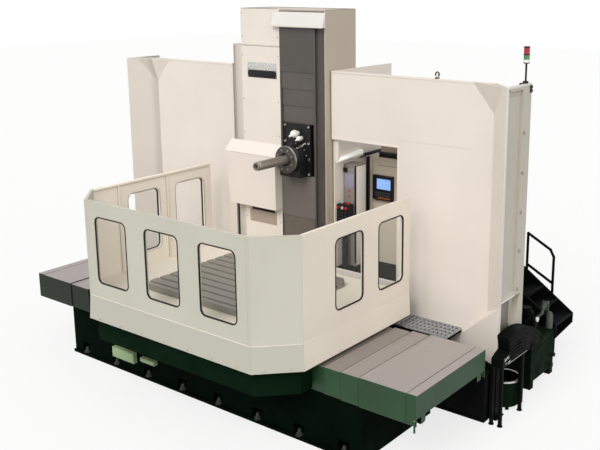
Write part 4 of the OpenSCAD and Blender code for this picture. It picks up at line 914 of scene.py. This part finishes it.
def column_fittings():
    """Bare plates with rivets, screws, strips of painted shadow and shade, covers and edges of the column."""
    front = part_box("column_front_covers")[0].y
    x0, x1 = BARE_PLATE_X
    plate("column_bright_plate", "chrome", (x0, front - 0.004, 4.142), (x1, front, 4.25), 0.0015, "column")
    plate("column_dark_strip", "black", (x0, front - 0.005, 4.03), (x1, front, 4.138), 0.0015, "column")
    rivets = Piece("column_plate_rivets", "bolt", "column")
    for x in (-0.935, -0.405):
        for z in (4.045, 4.123, 4.157, 4.236):
            rivets.ball((x, front - 0.0045, z), 0.007, (1, 0.5, 1))
    screws = Piece("column_cover_screws", "bolt", "column")
    for x in (-1.045, -0.36):
        for z in (1.02, 1.45, 1.9, 3.2, 3.7, 4.35, 4.62, 4.95):
            screws.bar((x, front, z), (x, front - 0.0035, z), 0.011, 0.008, 18)
    for x in (-0.965, -0.46):
        for z in (1.858, 2.04):
            screws.bar((x, front + 0.008, z), (x, front + 0.004, z), 0.009, 0.0065, 18)
    # Painted shadow: a black plate in the slot under the changer.
    plate("column_slot_shadow_plate", "black",
          (-0.935, front - 0.003, 2.026), (-0.475, front + 0.002, 2.066), 0.002, "column")
    # Painted shade: the inset panel under the changer is brown, for the changer's shade.
    plate("column_inset_shade_plate", "brown",
          (-0.976, front + 0.003, 1.792), (-0.438, front + 0.0075, 2.024), 0.001, "column")
    # Painted shadow: strips in the gap between the left wall and the column's wing, brown above and black
    # below the changer
    for part, finish, low, high in (("", "brown", 2.1, 4.49), ("_low", "rubber", 0.96, 2.1)):
        plate(f"column_wing_gap_shadow{part}", finish,
              (WING_GAP_SHADOW[0], WALL_Y - 0.004, low), (WING_GAP_SHADOW[1], WALL_Y + 0.01, high), 0.003, "column")
    # Its paint has painted shade, darker towards its left end
    plate("column_wing_cover", "wing", (WING[0], 1.3975, 0.97), (WING[1], 1.4005, 4.495), 0.001, "column")
    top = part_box("column_casing")[1].z
    edge = Piece("column_top_edge", "cabinet", "column")
    for low, high in TOP_EDGE:
        edge.block((*low, top - 0.001), (*high, top + 0.007), 0.002)
    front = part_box("tool_changer_cover")[0].y
    plate("changer_cover_seams", "end",
          (-1.2, front - 0.0012, 2.905), (-0.33, front + 0.001, 2.909), 0.0004, "column")
    plate("changer_lower_fold", "cream",
          (-1.236, front - 0.002, 2.119), (-0.325, front + 0.002, 2.136), 0.0015, "column")
    low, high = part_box("column_hood")
    plate("hood_drip_edge", "cream",
          (low.x + 0.004, low.y - 0.003, low.z - 0.004), (high.x - 0.004, low.y + 0.004, low.z + 0.022),
          0.0015, "column")
    Piece("slot_guide_strips", "slot", "column").block(
        (0.308, 1.3455, 1.0), (0.324, 1.3505, 4.78), 0.001).block(
        (0.47, 1.378, 0.96), (0.488, 1.386, 4.97), 0.002)


# The display's bezel: left, right, lower and upper edge of each bar, from the display's lower left corner
BEZEL = ((0, 0.338, 0.35, 0.362), (0, 0.012, 0, 0.35), (0.326, 0.338, 0, 0.35),
         (0.012, 0.326, 0, 0.01), (0.053, 0.319, 0.142, 0.156))


def display_fittings():
    """Keys and bezel of the display unit."""
    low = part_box("display_unit")[0]
    keys = Piece("display_keys", "key")
    for row in range(2):
        for col in range(9):
            x, z = low.x + 0.045 + col * 0.031, low.z + 0.07 + row * 0.036
            keys.block((x - 0.011, low.y - 0.006, z - 0.012), (x + 0.011, low.y, z + 0.012), 0.003)
    keys = Piece("display_lit_keys", "amber")
    for col in range(6):
        x = low.x + 0.105 + col * 0.036
        keys.block((x - 0.013, low.y - 0.006, low.z + 0.018), (x + 0.013, low.y, low.z + 0.044), 0.003)
    bezel = Piece("display_bezel_edge", "black")
    for x0, x1, z0, z1 in BEZEL:
        bezel.block((low.x + x0, low.y - 0.008, low.z + z0), (low.x + x1, low.y, low.z + z1), 0.003)


# The inner side wall of the operator's place, and the right end of the shadow box and the riser on the
# control cabinet
SIDE_WALL = 0.547
DUCT_END = 1.54
# Height of the upper row on the operation box
UPPER_ROW = 2.245


def operator_fittings():
    """Doors, lamps, ducts, dark blocks of painted shadow and buttons at the operator's place inside the
    doorway.
    """
    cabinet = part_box("control_cabinet")
    front, top = cabinet[0].y, cabinet[1].z
    Piece("control_cabinet_seams", "rubber").blocks(
        0.0004, ((0.86, front - 0.001, 2.8), (1.5, front + 0.001, 2.805)),
        ((0.772, front - 0.001, 1.4), (0.776, front + 0.001, 2.88)))
    low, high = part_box("wiring_cabinet")
    plate("wiring_cabinet_door", "cabinet",
          (low.x + 0.012, low.y - 0.008, 1.5), (high.x - 0.028, low.y, 2.8), 0.004)
    plate("wiring_cabinet_inlay", "lilac",
          (low.x + 0.02, low.y - 0.011, 2.5), (high.x - 0.04, low.y - 0.007, 2.72), 0.002)
    plate("wiring_cabinet_side", "cream",
          (high.x, low.y + 0.006, 1.37), (high.x + 0.004, high.y - 0.006, 2.83), 0.0015)
    Piece("work_lamp_tube", "lamp").bar(
        (0.584, 1.494, 2.932), (0.584, 2.085, 2.975), 0.036, sides=24, bevel=0.006)
    # Painted shadow: a dark box on top of the control cabinet.
    plate("cabinet_top_shadow_box", "black",
          (0.86, front + 0.03, top), (DUCT_END, front + 0.1, top + 0.07), 0.006)
    plate("cabinet_cable_riser", "casing", (0.75, front + 0.24, top), (DUCT_END, front + 0.34, 3.36), 0.006)
    Piece("wiring_cabinet_edge", "black").block(
        (high.x - 0.022, low.y - 0.012, 1.4), (high.x, low.y, 2.84), 0.003).block(
        (low.x + 0.012, low.y - 0.03, 2.74), (low.x + 0.075, low.y - 0.008, 2.8), 0.004)
    lamps = Piece("wiring_cabinet_lamps", "red")
    for z in (2.47, 2.39):
        lamps.bar((0.655, low.y - 0.008, z), (0.655, low.y - 0.02, z), 0.014, 0.011, 18, 0.002)
    # A dark upright block, a painted shadow for the gap between the side wall and the cabinet, and a row of
    # dark blocks above it.
    shadow_block_and_links = Piece("side_wall_shadow_block_and_links", "black")
    shadow_block_and_links.block((SIDE_WALL, 2.25, 1.6), (0.574, 2.37, 2.86), 0.004)
    for k in range(15):
        y = 2.06 + k * 0.052
        shadow_block_and_links.block((SIDE_WALL, y, 2.896), (0.6, y + 0.036, 2.93), 0.004)
    plate("side_wall_rail", "chrome", (SIDE_WALL, 2.04, 2.886), (0.604, 2.85, 2.894), 0.002)
    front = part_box("operation_box")[0].y
    lamps = Piece("operation_box_lamps", "red")
    for x in (0.582, 0.716):
        lamps.bar((x, front, UPPER_ROW), (x, front - 0.02, UPPER_ROW), 0.022, 0.017, 24, 0.004)
    buttons = Piece("operation_box_buttons", "key")
    for row in range(4):
        for col in range(3):
            x, z = 0.592 + col * 0.058, 2.04 + row * 0.045
            buttons.bar((x, front, z), (x, front - 0.009, z), 0.013, 0.011, 18, 0.002)
    Piece("operation_box_knob", "grey").turned(
        [(0, 0.014), (0.02, 0.014), (0.024, 0.008), (0.024, 0)], (0.65, front, UPPER_ROW), FRONT, 24)


def tower_rings():
    """Dark rings and a white collar between the lenses of the signal tower."""
    green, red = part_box("green_lamp"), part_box("red_lamp")
    x, y = (green[0].x + green[1].x) / 2, (green[0].y + green[1].y) / 2
    rings = Piece("signal_rings", "black")
    for z in (green[0].z, green[1].z, red[1].z - 0.01):
        rings.turned([(0.03, -0.006), (0.0385, -0.006), (0.0385, 0.006), (0.03, 0.006)], (x, y, z), UP)
    Piece("signal_base_lens", "white").turned(
        [(0.03, 0.006), (0.0372, 0.006), (0.0372, 0.04), (0.03, 0.04)], (x, y, green[0].z), UP)


# The chip chute's arched top and the hood over it: their axes, half the hood's angle and its turn to the rear
CHUTE_CENTRE = (1.34, 0.18)
HOOD_CENTRE = (1.33, 0.105)
HOOD_HALF = radians(28)
HOOD_TURN = radians(15)
# The hood's shell, its two rims and the ribs on its end: from and to along X, inner and outer radius
HOOD_RINGS = ((3.398, 3.545, 0.865, 1.05), (3.393, 3.401, 0.87, 1.06), (3.542, 3.55, 0.87, 1.06),
              (3.55, 3.556, 0.9, 0.912), (3.55, 3.556, 0.96, 0.972), (3.55, 3.556, 1.02, 1.032))
DRUM = (3.283, 1.55, 0)


def conveyor_fittings():
    """Ribs, hood, lip and feet of the chip conveyor, the trough and strip beside it, and the drum's rim."""
    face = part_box("chip_chute")[1].x
    ribs = Piece("conveyor_ribs", "dark")
    for r in (0.79, 0.745, 0.7):
        ribs.arch(face - 0.001, face + 0.007, (r - 0.012, r), CHUTE_CENTRE, radians(27) * (r / 0.8) ** 0.3)
    for x in (3.405, 3.45, 3.495):
        ribs.arch(x, x + 0.012, (0.798, 0.806), CHUTE_CENTRE, radians(27.5))
    plate("conveyor_lip", "bolt", (face, 1.1, 0.792), (face + 0.005, 1.62, 0.8), 0.001)
    hood = Piece("conveyor_hood", "dark")
    for x0, x1, low, high in HOOD_RINGS:
        hood.arch(x0, x1, (low, high), HOOD_CENTRE, HOOD_HALF, turn=HOOD_TURN)
    Piece("conveyor_spout_plate", "chrome").blocks(
        0.001, ((face, 1.0, 0.86), (face + 0.004, 1.13, 0.9)),
        ((face, 1.03, 0.81), (face + 0.004, 1.16, 0.83)))
    plate("wall_foot_strip", "rubber", (0.68, WALL_Y - 0.006, 0.55), (2.95, WALL_Y + 0.0005, 0.72), 0.002)
    trough = Piece("chip_trough", "dark")
    trough.block((0.66, 0.945, 0.03), (3.32, 1.05, 0.62), 0.01)
    for z0, z1 in ((0.62, 0.64), (0, 0.035)):
        trough.block((0.65, 0.935, z0), (3.33, 1.058, z1), 0.004)
    for k in range(7):
        x = 0.8 + k * 0.38
        trough.block((x, 0.935, 0.03), (x + 0.03, 0.946, 0.62), 0.003)
    feet = Piece("conveyor_leg_sleeves", "dark")
    feet.block((3.502, 1.492, 0.11), (3.558, 1.548, 0.775), 0.004)
    for x, y in ((3.41, 0.98), (3.53, 0.98), (3.53, 1.52)):
        feet.turned([(0, 0), (0.036, 0), (0.036, 0.008), (0.026, 0.014), (0, 0.014)],
                    (x, y, 0), UP, 24)
    Piece("drum_bright_rim", "chrome").turned(
        [(0.187, 0.396), (0.187, 0.403), (0.212, 0.405), (0.2165, 0.4), (0.2165, 0.386), (0.2135, 0.385)],
        DRUM, UP, 64)
    bands = Piece("drum_bands", "tank")
    for z in (0.16, 0.28):
        bands.turned([(0.1985, z - 0.012), (0.204, z - 0.006), (0.204, z + 0.006), (0.1985, z + 0.012)],
                     DRUM, UP, 48)


PUMP_RIBS = 20


def coolant_fittings():
    """Lid, pump ribs, valves, filter and drain taps of the coolant tank."""
    low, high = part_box("coolant_tank")
    Piece("tank_lid", "tank").block(
        (low.x + 0.01, low.y + 0.01, high.z), (high.x - 0.01, high.y - 0.06, high.z + 0.012), 0.004).blocks(
        0.002, ((low.x + 0.02, low.y - 0.004, 0.52), (high.x - 0.02, low.y, 0.545)),
        ((high.x, low.y + 0.02, 0.52), (high.x + 0.004, high.y - 0.02, 0.545)))
    end = high.x
    low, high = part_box("coolant_pump")
    x, y = (low.x + high.x) / 2, (low.y + high.y) / 2
    ribs = Piece("pump_cooling_ribs", "dark")
    for k in range(PUMP_RIBS):
        ribs.at = Matrix.Translation((x, y, 0)) @ Matrix.Rotation(2 * pi * k / PUMP_RIBS, 4, "Z")
        ribs.block((0.09, -0.004, low.z + 0.05), (0.108, 0.004, high.z - 0.08), 0.001)
    plate("pump_terminal_box", "dark",
          (x + 0.085, y - 0.05, high.z - 0.26), (x + 0.15, y + 0.05, high.z - 0.15), 0.006)
    valves = Piece("coolant_valves", "anchor")
    valves.pipe([(x + 0.02, y + 0.09, 0.86), (x + 0.02, 2.5, 0.86), (x + 0.1, 2.56, 0.94),
                 (x + 0.1, 2.62, 1.02)], 0.022)
    valves.bar((x + 0.1, 2.6, 0.99), (x + 0.1, 2.66, 1.07), 0.042, sides=8, bevel=0.003)
    valves.bar((x + 0.06, 2.66, 1.08), (x + 0.14, 2.66, 1.08), 0.014, sides=12)
    valves.pipe([(x + 0.1, 2.64, 1.05), (x + 0.1, 2.75, 1.05), (x + 0.1, 2.75, 0.67)], 0.02)
    Piece("coolant_filter", "casting").turned(
        [(0, 0), (0.03, 0), (0.043, 0.012), (0.043, 0.2), (0.03, 0.22), (0.03, 0.24), (0, 0.24)],
        (3.34, 2.77, 0.665), UP, 28)
    Piece("pump_gauge", "white").turned(
        [(0, 0), (0.03, 0), (0.034, 0.006), (0.034, 0.022), (0, 0.022)],
        (x + 0.15, y, 0.96), (1, 0, 0), 24)
    taps = Piece("tank_drain_taps", "black")
    for y, z in ((2.78, 0.28), (2.72, 0.15)):
        taps.bar((end, y, z), (end + 0.05, y, z), 0.018, sides=12, bevel=0.002)
        taps.block((end + 0.03, y - 0.03, z + 0.012), (end + 0.046, y + 0.03, z + 0.03), 0.004)


# The stair's upper and lower height, its length and the going of its treads
STAIR_TOP = 1.271
STAIR_LOW = 0.709
STAIR_RUN = 0.809
TREAD_GO = 0.23


def stair_fittings():
    """Edge bars on the treads and clamp bolts of the handrail."""
    low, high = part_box("stairs")
    slope = (STAIR_TOP - STAIR_LOW) / STAIR_RUN
    bars = Piece("tread_edge_bars", "dark")
    for i in range(3):
        x = low.x + (i + 1.5) * TREAD_GO
        z = STAIR_TOP - slope * (i + 1.5) * TREAD_GO
        bars.block((x - 0.03, low.y + 0.032, z - 0.004), (x + 0.002, high.y - 0.032, z + 0.003), 0.001)
    clamps = Piece("handrail_clamp_bolts", "bolt")
    for x in (2.64, 3.059):
        z = STAIR_TOP - slope * (x - low.x) - 0.09
        for k in (-1, 1):
            clamps.hex_bolt((x + k * 0.027, high.y + 0.014, z), REAR, 0.016)


# Light: the sky's strength, and what the floor shows to the eye and gives back to the machine
WHITE = (1, 1, 1, 1)
SKY = 0.52
SKY_COLOUR = (1, 0.995, 0.985, 1)
FLOOR_HALF = 60
FLOOR_SEEN = 0.9
FLOOR_GIVES = 0.45
FLOOR_GLOW = 0.75
SUN_COLOUR = (1, 0.99, 0.975)
# Each sun's name, the direction towards it, its strength and the angle that it fills
SUNS = (
    ("key_sun", (0.1, -0.74, 0.68), 1.98, 40),
    ("side_sun", (0.9, -0.25, 0.36), 0.8, 60),
)


def split_rays(tree, output, given, seen):
    """One shader for the light that reaches the machine, another for what the eye, mirrors and glass see."""
    rays = add_node(tree, "LightPath", {}).outputs
    share = rays["Is Camera Ray"]
    for kind in ("Is Transmission Ray", "Is Glossy Ray"):
        node = add_node(tree, "Math", {0: share, 1: rays[kind]}, operation="MAXIMUM")
        share = node.outputs["Value"]
    mix = add_node(tree, "MixShader", {"Fac": share, 1: given, 2: seen})
    feed(tree, tree.nodes[output], {"Surface": mix.outputs["Shader"]})


def studio_floor():
    """A pale floor that shows soft shadows."""
    mesh = bpy.data.meshes.new("studio_floor")
    bm = bmesh.new()
    bmesh.ops.create_grid(bm, x_segments=1, y_segments=1, size=FLOOR_HALF)
    bm.to_mesh(mesh)
    bm.free()
    floor = bpy.data.objects.new("studio_floor", mesh)
    scene.collection.objects.link(floor)
    material = bpy.data.materials.new("studio_floor_paper")
    material.use_nodes = True
    tree = material.node_tree
    paper = add_node(tree, "BsdfDiffuse", {"Color": shaded(WHITE, FLOOR_SEEN)})
    glow = add_node(tree, "Emission", {"Color": WHITE})
    shown = add_node(tree, "MixShader", {
        "Fac": FLOOR_GLOW, 1: paper.outputs["BSDF"], 2: glow.outputs["Emission"]})
    given = add_node(tree, "BsdfDiffuse", {"Color": shaded(WHITE, FLOOR_GIVES)})
    split_rays(tree, "Material Output", given.outputs["BSDF"], shown.outputs["Shader"])
    mesh.materials.append(material)


def studio_light():
    """A white world and two soft suns."""
    world = bpy.data.worlds.new("studio_world")
    world.use_nodes = True
    tree = world.node_tree
    sky = tree.nodes["Background"]
    feed(tree, sky, {"Color": SKY_COLOUR, "Strength": SKY})
    backdrop = add_node(tree, "Background", {"Color": WHITE, "Strength": 1})
    split_rays(tree, "World Output", sky.outputs["Background"], backdrop.outputs["Background"])
    scene.world = world
    for name, towards, strength, spread in SUNS:
        data = bpy.data.lights.new(name, "SUN")
        data.energy = strength
        data.angle = radians(spread)
        data.color = SUN_COLOUR
        lamp = bpy.data.objects.new(name, data)
        lamp.rotation_euler = Vector(towards).to_track_quat("Z", "Y").to_euler()
        scene.collection.objects.link(lamp)


place_camera()
paint_solids()
cover_wipers()
cover_end_joint()
terminal_lids()
wall_fittings()
guard_trim()
head_fittings()
spindle_fittings()
column_fittings()
display_fittings()
operator_fittings()
tower_rings()
conveyor_fittings()
coolant_fittings()
stair_fittings()
for fitting in Piece.begun:
    fitting.done()
studio_floor()
studio_light()
scene.view_settings.view_transform = "Standard"


def corners(box):
    """The two corners of a box as plain numbers."""
    return [[float(v) for v in corner] for corner in box]
